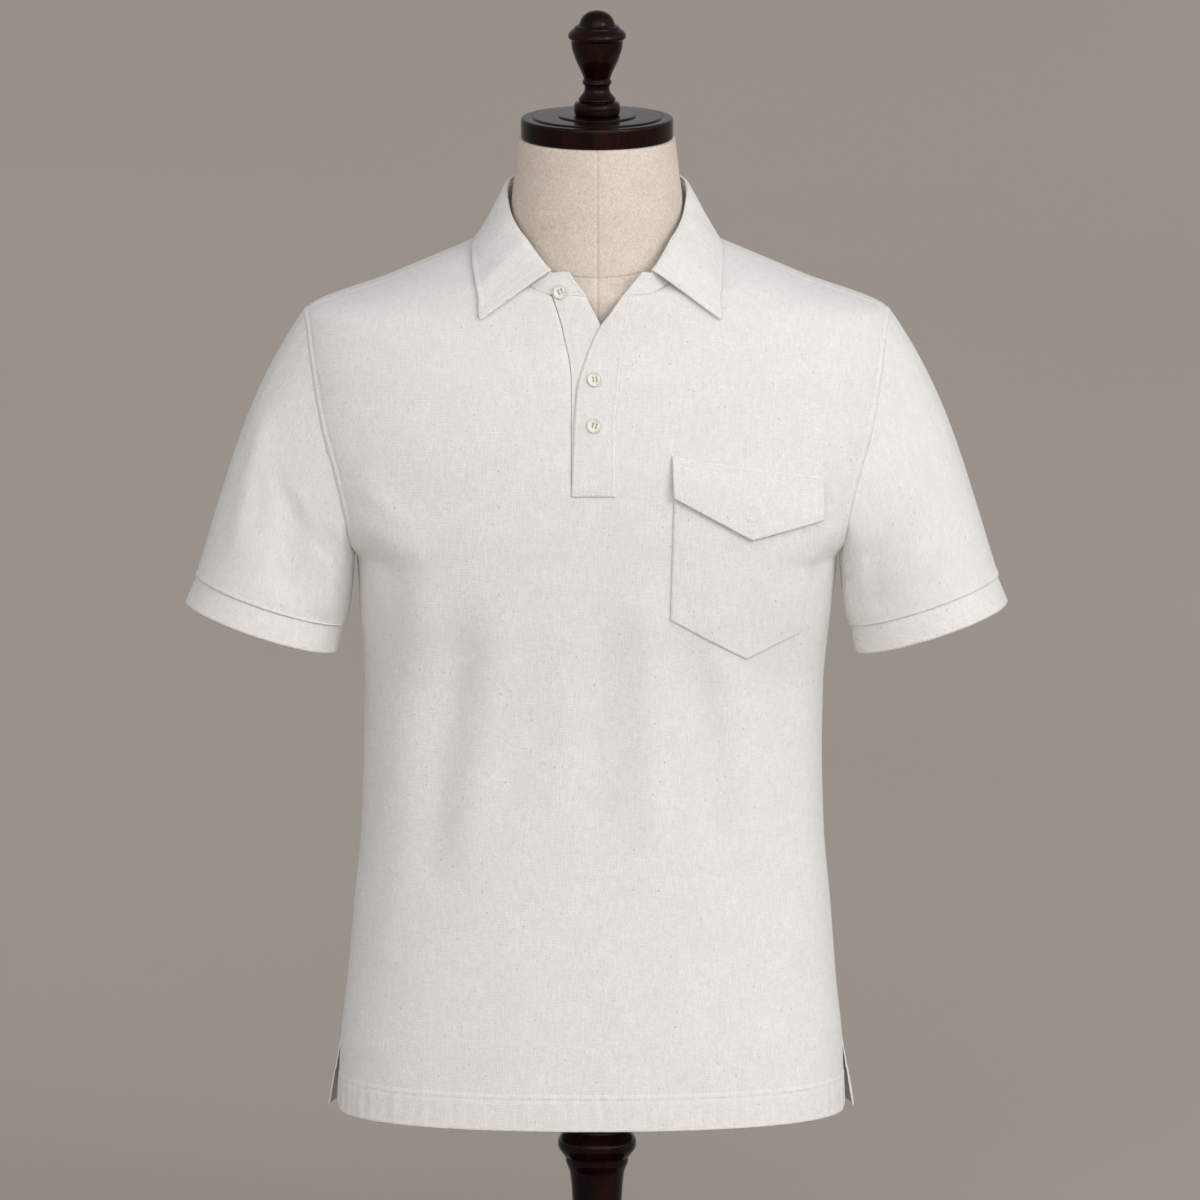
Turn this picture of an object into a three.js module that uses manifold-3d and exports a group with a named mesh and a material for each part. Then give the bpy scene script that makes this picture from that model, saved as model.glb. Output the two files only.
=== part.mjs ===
// A polo shirt of slubbed linen, worn on a limbless linen-covered dress form with a turned wooden finial,
// post and round foot. Millimetres, +Z up. The shirt faces -Y, so +X is the wearer's left.
// The origin is on the floor under the middle of the foot.
import * as THREE from 'three';
import { mergeVertices } from 'three/addons/utils/BufferGeometryUtils.js';
import Module from 'manifold-3d';

const wasm = await Module();
wasm.setup();

// Cloth walls, and the gap where pieces are sewn or pressed together
const GAP = 0.3;
const CLOTH = 1.2;
const BAND = 1.6;
const CUFF = 2.4;

// Heights above the floor
const HEM = 190;
const VENT_TOP = 245;
const ARMPIT = 632;
const SLOT_BOTTOM = 702;
const SHOULDER_TIP = 820;
const NECK_FRONT = 847;
const NECK_SIDE = 882.5;

// Half widths at the two ends of the shoulder, and how far the shoulder seam lies in front of the ridge
const TIP_HALF = 228.5;
const NECK_HALF = 79;
const SEAM_FORWARD = 7;

// The back hem stands out past the front hem at the side vents, and the front's hem corners are rounded
const VENT_FLARE = 7;
const HEM_CORNER = 4;

// How far the back armhole lies outside the front one, at mid height
const BACK_WIDER = 4;

// Sleeve ends: middle, half width, half depth and lean of the ring where the cuff is sewn on
const CUFF_SEAM = { x: 254.4, y: -4, z: 594 };
const CUFF_HALF_WIDTH = 61;
const CUFF_HALF_DEPTH = 55;
const CUFF_HEIGHT = 22.5;
const CUFF_FLARE = 2;
const ARM_LEAN = 18;

// Buttons
const BUTTON_RADIUS = 6;
const BUTTON_THICK = 2;
const BUTTON_HOLE = 0.75;
const BUTTON_HOLE_FROM_MIDDLE = 1.6;

// Dress form: where its torso ends under the hem and its neck ends under the cap
const FORM_BOTTOM = 207;
const NECK_TOP = 957;
const CAP_THICK = 15;
const CAP_HEIGHT = 18.4;

// Tops of the round foot and of the post on it
const BASE_TOP = 25.7;
const POST_HEIGHT = FORM_BOTTOM - GAP - (BASE_TOP + GAP);

const DEGREE = Math.PI / 180;
const SLOPE_STEP = 0.002;
const TURN_STEP = 0.02;
const HEIGHT_STEP = 0.4;

// A short table: the first line names the columns, each further line is one section
const table = (names, rows) =>
  rows.map((row) => Object.fromEntries(names.split(' ').map((name, i) => [name, row[i]])));

const mix = (a, b, t) => a + (b - a) * t;
const clamp = (v, low, high) => Math.min(high, Math.max(low, v));
const smooth = (low, high, v) => {
  const t = clamp((v - low) / (high - low), 0, 1);
  return t * t * (3 - 2 * t);
};
const signedPower = (v, power) => Math.sign(v) * Math.abs(v) ** power;

// A curve through a table's column that never swings past its values
function curve(rows, along, name) {
  const x = rows.map((row) => row[along]);
  const y = rows.map((row) => row[name]);
  const step = x.slice(1).map((v, i) => (y[i + 1] - y[i]) / (v - x[i]));
  const slope = y.map((_, i) => {
    if (i === 0) return step[0];
    if (i === step.length) return step[i - 1];
    const before = step[i - 1];
    const after = step[i];
    return before * after <= 0 ? 0 : (2 * before * after) / (before + after);
  });
  return (v) => {
    const last = x.length - 1;
    if (v <= x[0]) return y[0] + (v - x[0]) * slope[0];
    if (v >= x[last]) return y[last] + (v - x[last]) * slope[last];
    const i = x.findIndex((_, k) => v < x[k + 1]);
    const h = x[i + 1] - x[i];
    const t = (v - x[i]) / h;
    const bend = t * t * (3 - 2 * t);
    return mix(y[i], y[i + 1], bend) + h * t * (1 - t) * (slope[i] * (1 - t) - slope[i + 1] * t);
  };
}

const curves = (rows, along) =>
  Object.fromEntries(Object.keys(rows[0]).map((name) => [name, curve(rows, along, name)]));

// Where a rising function crosses zero
function solve(f, low, high) {
  let a = low;
  let b = high;
  for (let i = 0; i < 50; i += 1) {
    const middle = (a + b) / 2;
    if (f(middle) > 0) b = middle;
    else a = middle;
  }
  return (a + b) / 2;
}

// The shoulder ridge: half width at each height between the shoulder tip and the neck
const ridge = (z) => mix(TIP_HALF, NECK_HALF, (z - SHOULDER_TIP) / (NECK_SIDE - SHOULDER_TIP));

// Level sections of the worn shirt: half width, depths in front of and behind the side seams,
// sideways lean of the middle, and squareness of the section
const BODY = table('z half front back lean square', [
  [180, 198, 103, 103.5, -4.6, 2.3],
  [245, 195.5, 103, 106, -4.4, 2.3],
  [290, 190.7, 102, 106, -4.2, 2.3],
  [354, 185.3, 100, 102, -3.7, 2.3],
  [417, 179.8, 99, 96, -3.5, 2.3],
  [481, 178.2, 99.5, 92, -3.3, 2.3],
  [528, 178.3, 101.5, 92, -2.4, 2.3],
  [560, 180.6, 104, 95, -1.7, 2.4],
  [592, 183.7, 107, 99, -1, 2.6],
  [625, 186.3, 108.7, 103, 0, 2.85],
  [632, 187, 109, 104, 0, 2.9],
  [637, 190.5, 109.4, 104.8, 0, 2.85],
  [645, 199, 110, 106, 0, 2.75],
  [668, 217, 111, 108, 0, 2.55],
  [701, 231, 111, 111, 0, 2.35],
  [736, 237, 107.5, 112, 0, 2.3],
  [779, 237, 100, 110, 0, 2.25],
  [800, 234, 94.5, 107, 0, 2.2],
  [820, ridge(820), 90, 103.5, 0, 2.1],
  [847, ridge(847), 86, 97, 0, 2],
  [858, ridge(858), 73, 93.5, 0, 2],
  [864, ridge(864), 66.5, 91, 0, 2],
  [872.5, ridge(872.5), 54, 87, 0, 2],
  [882.5, ridge(882.5), 38, 82, 0, 2],
  [893, 73.5, 36, 77, 0, 2],
]);
const body = curves(BODY, 'z');

// Large soft folds as lines on the front or the back: + stands out, - sinks in
const FOLDS = table('face x0 z0 x1 z1 width height', [
  [-1, -191, 708, -128, 632, 14, 2.6],
  [-1, -128, 660, -165, 410, 16, 3],
  [-1, -100, 625, -135, 370, 15, -3.2],
  [-1, -68, 625, -107, 360, 16, 2.6],
  [-1, 6, 635, 2, 390, 18, -1.9],
  [-1, 34, 650, 46, 390, 15, 2.6],
  [-1, 72, 590, 97, 390, 14, -2.4],
  [-1, 98, 590, 128, 370, 14, 2.3],
  [-1, 139, 600, 158, 350, 12, -2],
  [1, -150, 690, -92, 560, 15, 2.6],
  [1, -120, 610, -150, 350, 15, -2.6],
  [1, -82, 640, -112, 380, 15, 2.8],
  [1, -36, 610, -52, 330, 17, -2.4],
  [1, -4, 660, 6, 420, 16, 2.2],
  [1, 44, 600, 60, 360, 16, -2.8],
  [1, 88, 640, 104, 390, 15, 2.6],
  [1, 128, 590, 150, 370, 13, -2.2],
  [1, 160, 700, 110, 590, 14, 2.2],
]);

// Height of a soft ridge or trough along a line, fading out at its ends
function lineFold(row, x, z) {
  const dx = row.x1 - row.x0;
  const dz = row.z1 - row.z0;
  const length = Math.hypot(dx, dz);
  const along = ((x - row.x0) * dx + (z - row.z0) * dz) / (length * length);
  const aside = ((x - row.x0) * dz - (z - row.z0) * dx) / length;
  const ends = smooth(0, 0.25, along) * (1 - smooth(0.75, 1, along));
  return row.height * ends * Math.exp(-((aside / row.width) ** 2));
}

function sectionPoint(section, angle, z) {
  const power = 2 / section.square;
  const across = signedPower(Math.sin(angle), power);
  const ahead = signedPower(Math.cos(angle), power);
  const depth = ahead > 0 ? section.front : section.back;
  return new THREE.Vector3(section.lean + section.half * across, -depth * ahead, z);
}

function bodySection(z) {
  return {
    half: body.half(z),
    front: body.front(z),
    back: body.back(z),
    lean: body.lean(z),
    square: body.square(z),
  };
}

// Outward normal of a surface given by angle from the centre front and height
function normalOf(surface, angle, z) {
  const around = surface(angle + SLOPE_STEP, z).sub(surface(angle - SLOPE_STEP, z));
  const up = surface(angle, z + HEIGHT_STEP).sub(surface(angle, z - HEIGHT_STEP));
  return around.cross(up).normalize();
}

const plainBody = (angle, z) => sectionPoint(bodySection(z), angle, z);

// The shirt's middle layer with its folds; they fade out towards the side seams
function foldedBody(angle, z) {
  const point = plainBody(angle, z);
  const face = Math.cos(angle) > 0 ? -1 : 1;
  const fade = smooth(0.04, 0.34, Math.abs(Math.cos(angle)));
  let height = 0;
  for (const row of FOLDS) {
    if (row.face === face) height += lineFold(row, point.x, z);
  }
  return point.addScaledVector(normalOf(plainBody, angle, z), height * fade);
}

// A point of the shirt, moved out from its middle layer, with the outward normal there
function shirt(angle, z, out = 0) {
  const n = normalOf(foldedBody, angle, z);
  return { p: foldedBody(angle, z).addScaledVector(n, out), n };
}

// Angles from the centre front at which the front reaches a sideways place, or either face a depth
function angleAtX(x, z) {
  const share = clamp((x - body.lean(z)) / body.half(z), -1, 1);
  return Math.asin(signedPower(share, body.square(z) / 2));
}

function angleAtY(y, z) {
  const depth = y < 0 ? body.front(z) : body.back(z);
  const share = (Math.abs(y) / depth) ** (body.square(z) / 2);
  return y < 0 ? Math.acos(share) : Math.PI - Math.acos(share);
}

// Front armhole seen from the front
const ARMHOLE = table('z x', [
  [632, 187],
  [634, 187.15],
  [638, 188.6],
  [645, 191.3],
  [668, 195.8],
  [701, 203.6],
  [736, 213.7],
  [779, 221.5],
  [800, 224.5],
  [812, 226],
  [SHOULDER_TIP, TIP_HALF],
]);
const armholeX = curve(ARMHOLE, 'z', 'x');

// Once round the armhole: 0 at the armpit, up the front, 0.5 on the ridge, down the back
function armhole(turn) {
  const z = mix(ARMPIT, SHOULDER_TIP, (1 - Math.cos(2 * Math.PI * turn)) / 2);
  const behind = turn > 0.5;
  const wider = behind ? BACK_WIDER * Math.sin(2 * Math.PI * turn) ** 2 : 0;
  const share = Math.min(1, (armholeX(z) + wider) / body.half(z));
  const angle = Math.asin(share ** (body.square(z) / 2));
  return { angle: behind ? Math.PI - angle : angle, z };
}

// Neckline height by the angle from the centre front, in degrees
const NECKLINE = table('angle z', [
  [0, 846.5],
  [13, 848],
  [20, 852.5],
  [26, 858],
  [33, 864],
  [46, 872.5],
  [58, 877.5],
  [78, 881.5],
  [90, 882.5],
  [110, 886],
  [128, 889.5],
  [146, 891.5],
  [180, 893],
]);
const neckCurve = curve(NECKLINE, 'angle', 'z');
const neckZ = (angle) => neckCurve(Math.abs(angle) / DEGREE);

// The shoulder seam's two ends
const tipTurn = solve((t) => armhole(t).angle - angleAtY(-SEAM_FORWARD, armhole(t).z), 0.4, 0.5);
const neckSeam = solve((a) => a - angleAtY(-SEAM_FORWARD, neckZ(a)), 60 * DEGREE, 89 * DEGREE);

// Placket edges by height. The under placket is sewn in on the wearer's right, the upper one on the left.
const UNDER_SEAM = table('z x', [
  [696, -20.3],
  [784, -20.3],
  [796, -21.5],
  [812, -25],
  [827, -28.5],
  [848, -35.5],
]);
const UNDER_FREE = table('z x', [
  [696, 7],
  [770, 7],
  [790, 6.5],
  [806, 5],
  [824, 2.7],
  [836, -3],
  [847, -8.6],
]);
const UPPER_SEAM = table('z x', [
  [694, 14],
  [750, 14],
  [770, 15.6],
  [789, 17.9],
  [806, 20.3],
  [824, 22.6],
  [848, 27],
]);
const UPPER_FREE = table('z x', [
  [694, -19.5],
  [745, -17.9],
  [775, -15.6],
  [786, -13.3],
  [797, -9.4],
  [812, -3.5],
  [824, 2.3],
  [833, 9.4],
  [848, 20.3],
]);
const underSeam = curve(UNDER_SEAM, 'z', 'x');
const underFree = curve(UNDER_FREE, 'z', 'x');
const upperSeam = curve(UPPER_SEAM, 'z', 'x');
const upperFree = curve(UPPER_FREE, 'z', 'x');
const SLOT_INSET = 5;
const PLACKET_BOTTOM = 694;

// Closes a sheet of four-sided cells into a wall. A corner is its middle point p and its outward normal n.
function wall(cells, thick) {
  const corners = [];
  const byPlace = new Map();
  const number = (corner) => {
    const key = corner.p.toArray().map((v) => Math.round(v * 1000)).join(' ');
    if (!byPlace.has(key)) {
      byPlace.set(key, corners.length);
      corners.push(corner);
    }
    return byPlace.get(key);
  };
  const triangles = [];
  const edges = new Map();
  for (const cell of cells) {
    const ids = cell.map(number);
    triangles.push([ids[0], ids[1], ids[2]], [ids[0], ids[2], ids[3]]);
    ids.forEach((id, i) => {
      const next = ids[(i + 1) % 4];
      if (!edges.delete(`${next} ${id}`)) edges.set(`${id} ${next}`, [id, next]);
    });
  }
  const layer = (side) =>
    corners.flatMap(({ p, n }) => p.clone().addScaledVector(n, (side * thick) / 2).toArray());
  const positions = [...layer(1), ...layer(-1)];
  const under = corners.length;
  const index = triangles.flatMap(([a, b, c]) => [a, b, c, under + a, under + c, under + b]);
  for (const [a, b] of edges.values()) index.push(b, a, under + a, b, under + a, under + b);
  return closed(positions, index);
}

function closed(positions, index) {
  const geometry = new THREE.BufferGeometry();
  geometry.setAttribute('position', new THREE.Float32BufferAttribute(positions, 3));
  geometry.setIndex(index);
  return facingOut(geometry);
}

// Turns a closed geometry's faces outwards
function facingOut(geometry) {
  const at = geometry.attributes.position;
  const index = Array.from(geometry.index.array);
  const point = (i) => new THREE.Vector3().fromBufferAttribute(at, i);
  let volume = 0;
  for (let i = 0; i < index.length; i += 3) {
    volume += point(index[i]).dot(point(index[i + 1]).cross(point(index[i + 2])));
  }
  if (volume < 0) {
    for (let i = 0; i < index.length; i += 3) [index[i], index[i + 1]] = [index[i + 1], index[i]];
    geometry.setIndex(index);
  }
  return geometry;
}

// The cells between the rows of a grid; a ring's last column meets its first
function cellsOf(grid, ring = false) {
  const cells = [];
  for (let i = 0; i + 1 < grid.length; i += 1) {
    const columns = grid[i].length;
    for (let j = 0; j + (ring ? 0 : 1) < columns; j += 1) {
      const k = (j + 1) % columns;
      cells.push([grid[i][j], grid[i][k], grid[i + 1][k], grid[i + 1][j]]);
    }
  }
  return cells;
}

// Gives a grid of plain points its normals, from each point's neighbours
function withNormals(points, ring = false) {
  const at = (i, j) => {
    const row = points[clamp(i, 0, points.length - 1)];
    return row[ring ? (j + row.length) % row.length : clamp(j, 0, row.length - 1)];
  };
  return points.map((row, i) =>
    row.map((p, j) => {
      const across = at(i, j + 1).clone().sub(at(i, j - 1));
      const along = at(i + 1, j).clone().sub(at(i - 1, j));
      return { p, n: across.cross(along).normalize() };
    }),
  );
}

// Half a panel: rows run from its inner edge to its outer edge, straight in angle and height
const PANEL_COLUMNS = 11;
function panelRow(row, side) {
  return Array.from({ length: PANEL_COLUMNS + 1 }, (_, j) => {
    const w = j / PANEL_COLUMNS;
    return row.place(side * mix(row.inner.angle, row.outer.angle, w), mix(row.inner.z, row.outer.z, w));
  });
}

const SIDE_HEIGHTS = [HEM, 216, VENT_TOP, 285, 330, 375, 420, 465, 510, 555, 595];
const ARMHOLE_ROWS = 14;
const SLOT_ROW = 2;
const FRONT_NECK_ROW = 7;
const BACK_NECK_ROW = 7;

// Below the vents the hem's corner is rounded and the back stands out past the front
const hemPlace = (angle, z) => {
  const side = smooth(80 * DEGREE, 90 * DEGREE, Math.abs(angle));
  return shirt(angle, z + (z === HEM ? HEM_CORNER * side : 0));
};
const backPlace = (angle, z) => {
  const point = shirt(angle, z);
  const low = clamp((VENT_TOP - z) / (VENT_TOP - HEM), 0, 1);
  const near = 1 - smooth(0, 45 * DEGREE, Math.abs(Math.abs(angle) - Math.PI / 2));
  point.p.x += Math.sign(angle) * VENT_FLARE * low * near;
  return point;
};

function slotEdge(side, z) {
  const lowest = Math.max(z, SLOT_BOTTOM);
  return side < 0 ? -underSeam(lowest) : upperSeam(lowest) - SLOT_INSET;
}

// The panels' corners along the neckline, as angles from the centre front
const NECK_STEPS = ARMHOLE_ROWS - FRONT_NECK_ROW;
const frontNeckAngle = (side, k) => {
  const first = side * angleAtX(side * slotEdge(side, NECK_FRONT), NECK_FRONT);
  return mix(first, neckSeam, k / NECK_STEPS);
};
const backNeckAngle = (k) => mix(Math.PI, neckSeam, k / NECK_STEPS);

function frontRows(side) {
  const innerAt = (z) => ({ angle: side * angleAtX(side * slotEdge(side, z), z), z });
  const rows = SIDE_HEIGHTS.map((z) => ({
    inner: innerAt(z),
    outer: { angle: angleAtY(-GAP / 2, z), z },
    place: hemPlace,
  }));
  for (let k = 0; k <= ARMHOLE_ROWS; k += 1) {
    const outer = armhole((tipTurn * k) / ARMHOLE_ROWS);
    outer.angle = Math.min(outer.angle, angleAtY(-GAP / 2, outer.z));
    if (k === ARMHOLE_ROWS) outer.angle = angleAtY(-SEAM_FORWARD - GAP / 2, outer.z);
    let inner;
    if (k <= SLOT_ROW) {
      inner = innerAt(mix(ARMPIT, SLOT_BOTTOM, k / SLOT_ROW));
    } else if (k < FRONT_NECK_ROW) {
      inner = innerAt(mix(SLOT_BOTTOM, NECK_FRONT, (k - SLOT_ROW) / (FRONT_NECK_ROW - SLOT_ROW)));
    } else {
      const angle = frontNeckAngle(side, k - FRONT_NECK_ROW);
      inner = { angle, z: neckZ(angle) };
      if (k === ARMHOLE_ROWS) inner.angle = angleAtY(-SEAM_FORWARD - GAP / 2, inner.z);
    }
    rows.push({ inner, outer, place: shirt });
  }
  return rows;
}

function frontPanel() {
  const right = frontRows(-1);
  const left = frontRows(1);
  const belowSlot = SIDE_HEIGHTS.length + SLOT_ROW + 1;
  const middle = left.slice(0, belowSlot).map((row, i) => {
    const from = -right[i].inner.angle;
    const to = row.inner.angle;
    return [0, 0.5, 1].map((w) => row.place(mix(from, to, w), row.inner.z));
  });
  const rightGrid = right.map((row) => panelRow(row, -1).reverse());
  const leftGrid = left.map((row) => panelRow(row, 1));
  return wall([...cellsOf(rightGrid), ...cellsOf(middle), ...cellsOf(leftGrid)], CLOTH);
}

function backPanel() {
  const rows = SIDE_HEIGHTS.map((z) => ({
    inner: { angle: Math.PI, z },
    outer: { angle: angleAtY(GAP / 2, z), z },
    place: backPlace,
  }));
  for (let k = 0; k <= ARMHOLE_ROWS; k += 1) {
    const outer = armhole(mix(1, tipTurn, k / ARMHOLE_ROWS));
    if (k === 0) outer.angle = angleAtY(GAP / 2, outer.z);
    if (k === ARMHOLE_ROWS) outer.angle = angleAtY(-SEAM_FORWARD + GAP / 2, outer.z);
    let inner;
    if (k <= BACK_NECK_ROW) {
      inner = { angle: Math.PI, z: mix(ARMPIT, neckZ(Math.PI), k / BACK_NECK_ROW) };
    } else {
      const angle = backNeckAngle(k - BACK_NECK_ROW);
      inner = { angle, z: neckZ(angle) };
      if (k === ARMHOLE_ROWS) inner.angle = angleAtY(-SEAM_FORWARD + GAP / 2, inner.z);
    }
    rows.push({ inner, outer, place: shirt });
  }
  const halves = [-1, 1].map((side) => rows.map((row) => panelRow(row, side)));
  return wall([...cellsOf(halves[0]), ...cellsOf(halves[1].map((row) => row.reverse()))], CLOTH);
}

// Where a wall starts that leaves a panel's edge in another direction, just clear of the panel's end.
// across points past the edge within the panel's surface.
function seamStart(edge, across, direction, half) {
  const ahead = direction.dot(across);
  const away = direction.dot(edge.n);
  const cosine = ahead / Math.hypot(ahead, away);
  const sine = Math.sqrt(1 - cosine * cosine);
  return edge.p
    .clone()
    .addScaledVector(across, GAP + half * sine)
    .addScaledVector(edge.n, Math.max(0, -cosine) * (2 * GAP + half + CLOTH / 2));
}

// Soft folds on the sleeves, as lines by share of the turn and share of the length
const SLEEVE_FOLDS = table('side x0 z0 x1 z1 width height', [
  [-1, 0.25, 0.3, 0.23, 0.95, 17, -3.2],
  [-1, 0.37, 0.25, 0.35, 0.9, 16, 1.8],
  [-1, 0.13, 0.35, 0.13, 0.98, 15, 2.4],
  [-1, 0.68, 0.3, 0.72, 0.95, 17, -2.6],
  [-1, 0.8, 0.25, 0.84, 0.9, 16, 2],
  [1, 0.17, 0.3, 0.15, 0.95, 15, -2.6],
  [1, 0.29, 0.25, 0.27, 0.9, 18, 1.8],
  [1, 0.07, 0.4, 0.06, 0.98, 13, 1.8],
  [1, 0.7, 0.3, 0.66, 0.95, 17, -2.8],
  [1, 0.82, 0.3, 0.78, 0.92, 16, 2.2],
]);
const SLEEVE_TURN = 420;
const SLEEVE_LENGTH = 215;

// How the sleeve leaves the armhole: spread along the shoulder, sideways swell of its head, lift at the front
// and back, tuck at the armpit, and how far that direction holds at the armpit and at the shoulder
const SLEEVE_SPREAD = 1.35;
const SLEEVE_HEAD = 0.62;
const SLEEVE_LIFT = 0.25;
const SLEEVE_TUCK = 0.2;
const SLEEVE_HOLD_LOW = 1;
const SLEEVE_HOLD_HIGH = 1.05;
const SLEEVE_STEPS = [0, 0.05, 0.13, 0.25, 0.38, 0.52, 0.66, 0.8, 0.91, 1];

// The sleeve's columns start at the panels' own corners round the armhole
const SLEEVE_TURNS = [
  ...Array.from({ length: ARMHOLE_ROWS }, (_, k) => (tipTurn * k) / ARMHOLE_ROWS),
  ...Array.from({ length: ARMHOLE_ROWS }, (_, k) => mix(tipTurn, 1, k / ARMHOLE_ROWS)),
];

const armAxis = new THREE.Vector3(Math.sin(ARM_LEAN * DEGREE), 0, -Math.cos(ARM_LEAN * DEGREE));
const cuffMiddle = new THREE.Vector3(CUFF_SEAM.x, CUFF_SEAM.y, CUFF_SEAM.z);

// A point of the ring across the arm, a distance past the cuff seam
function cuffRing(turn, past, wider = 0) {
  const angle = 2 * Math.PI * turn;
  const inward = new THREE.Vector3(-Math.cos(ARM_LEAN * DEGREE), 0, -Math.sin(ARM_LEAN * DEGREE));
  return cuffMiddle
    .clone()
    .addScaledVector(armAxis, past)
    .addScaledVector(inward, (CUFF_HALF_WIDTH + wider) * Math.cos(angle))
    .add(new THREE.Vector3(0, -(CUFF_HALF_DEPTH + wider) * Math.sin(angle), 0));
}

function armholeFrame(turn) {
  const at = (t) => {
    const { angle, z } = armhole((t + 1) % 1);
    return plainBody(angle, z);
  };
  const { angle, z } = armhole(turn);
  const n = normalOf(plainBody, angle, z);
  const tangent = at(turn + TURN_STEP).sub(at(turn - TURN_STEP));
  const across = tangent.cross(n).normalize();
  const middle = plainBody(Math.PI / 2, (ARMPIT + SHOULDER_TIP) / 2);
  if (across.dot(middle.sub(plainBody(angle, z))) < 0) across.negate();
  return { edge: { p: plainBody(angle, z), n }, across };
}

// The sleeve leaves the armhole along the shoulder at the top and straight down at the armpit,
// and bends into the arm's own direction at the cuff
function sleevePoint(turn, share) {
  const { edge, across } = armholeFrame(turn);
  const high = (1 - Math.cos(2 * Math.PI * turn)) / 2;
  const atSide = Math.sin(2 * Math.PI * turn) ** 2;
  const leave = armAxis
    .clone()
    .addScaledVector(across, SLEEVE_SPREAD * high)
    .addScaledVector(edge.n, SLEEVE_LIFT * atSide);
  leave.x += SLEEVE_HEAD * high ** 2 - SLEEVE_TUCK * (1 - high) ** 4;
  leave.normalize();
  const start = seamStart(edge, across, leave, CLOTH / 2);
  const end = cuffRing(turn, 0);
  const chord = start.distanceTo(end);
  const hold = mix(SLEEVE_HOLD_LOW, SLEEVE_HOLD_HIGH, high) * chord;
  const s = share;
  return start
    .multiplyScalar(2 * s ** 3 - 3 * s ** 2 + 1)
    .addScaledVector(leave, (s ** 3 - 2 * s ** 2 + s) * hold)
    .addScaledVector(end, 3 * s ** 2 - 2 * s ** 3)
    .addScaledVector(armAxis, (s ** 3 - s ** 2) * chord);
}

function sleeveGrid(side) {
  const plain = SLEEVE_STEPS.map((share) =>
    SLEEVE_TURNS.map((turn) => sleevePoint(turn, share)),
  );
  const grid = withNormals(plain, true);
  const half = Math.floor(SLEEVE_STEPS.length / 2);
  const centre = new THREE.Vector3();
  for (const p of plain[half]) centre.addScaledVector(p, 1 / SLEEVE_TURNS.length);
  const outward = Math.sign(grid[half][0].n.dot(plain[half][0].clone().sub(centre)));
  return grid.map((row, i) =>
    row.map(({ p, n }, j) => {
      let height = 0;
      for (const fold of SLEEVE_FOLDS.filter((f) => f.side === side)) {
        const scaled = {
          ...fold,
          x0: fold.x0 * SLEEVE_TURN,
          x1: fold.x1 * SLEEVE_TURN,
          z0: fold.z0 * SLEEVE_LENGTH,
          z1: fold.z1 * SLEEVE_LENGTH,
        };
        height += lineFold(scaled, SLEEVE_TURNS[j] * SLEEVE_TURN, SLEEVE_STEPS[i] * SLEEVE_LENGTH);
      }
      return { p: p.clone().addScaledVector(n, outward * height), n };
    }),
  );
}

const mirror = ({ p, n }, side) => ({
  p: new THREE.Vector3(side * p.x, p.y, p.z),
  n: new THREE.Vector3(side * n.x, n.y, n.z),
});
const mirrorGrid = (grid, side) => grid.map((row) => row.map((corner) => mirror(corner, side)));

const sleeve = (side) => wall(cellsOf(mirrorGrid(sleeveGrid(side), side), true), CLOTH);

// A folded band sewn on inside the sleeve's turned end, which widens slightly towards its edge
function cuff(side) {
  const inside = -(CUFF + CLOTH) / 2;
  const rows = [GAP, CUFF_HEIGHT / 2, CUFF_HEIGHT].map((past) =>
    SLEEVE_TURNS.map((turn) => cuffRing(turn, past, inside + (CUFF_FLARE * past) / CUFF_HEIGHT)),
  );
  return wall(cellsOf(mirrorGrid(withNormals(rows, true), side), true), CUFF);
}

// The roll line, where the collar turns over, by the neckline's angle: sideways place on the wearer's
// right and left, depth and height
const ROLL = table('turn right left y z', [
  [0, 19, 30, -81, 865.5],
  [8, 28, 36, -79.5, 865],
  [12, 34, 41, -78, 864],
  [20, 47, 51.5, -62, 875],
  [26, 54.5, 57, -52, 884],
  [33, 60, 61.5, -43, 889.5],
  [46, 66, 66.5, -27, 898],
  [58, 68.2, 68.2, -15, 903.5],
  [90, 69.8, 69.8, 3, 912.5],
  [110, 67.8, 67.8, 24, 917.5],
  [128, 58.5, 58.5, 42, 920.5],
  [146, 42, 42, 57.5, 922.5],
  [180, 0, 0, 72.5, 923.5],
]);
const roll = curves(ROLL, 'turn');

// The fall's free edge on the shirt, by the same angle: angle round the body on either side, height,
// and how far it lies above the shirt's middle layer
const FALL = table('turn right left z lift', [
  [12, 22.8, 24.4, 826, 3.6],
  [20, 29.6, 31, 840, 3.1],
  [26, 36.4, 37.5, 850, 2.9],
  [33, 45.8, 46.4, 860, 2.8],
  [46, 62, 62, 870, 2.8],
  [58, 80, 80, 875, 2.8],
  [90, 100, 100, 876.5, 3],
  [110, 118, 118, 878, 3.5],
  [128, 135, 135, 879.5, 4],
  [146, 152, 152, 880.3, 5],
  [180, 180, 180, 881, 6],
]);
const fall = curves(FALL, 'turn');

const STAND_END_RIGHT = -8.6;
const STAND_END_LEFT = 20.3;
const FALL_END = 13;
const ROLL_WIDTH = 5;
const ROLL_RISE = 1.4;
const FALL_BULGE = 2;
const FALL_CLEAR = 2.6;
const FALL_CLEAR_FROM = 0.3;
const FALL_SHARES = [0, 0.07, 0.16, 0.3, 0.47, 0.65, 0.83, 1];

// Places along the collar from its front end on the wearer's right, round the back, to the left one,
// at the panels' corners along the neckline
function collarTurns(endRight, endLeft) {
  const half = (end, side) => {
    const steps = Array.from({ length: NECK_STEPS + 1 }, (_, k) => k);
    const corners = [
      ...steps.map((k) => frontNeckAngle(side, k)),
      ...steps.map((k) => backNeckAngle(k)).reverse().slice(1),
    ].map((angle) => angle / DEGREE);
    return [end, ...corners.filter((turn) => turn > end + 1)].map((turn) => ({ side, turn }));
  };
  return [...half(endRight, -1), ...half(endLeft, 1).reverse().slice(1)];
}

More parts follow.
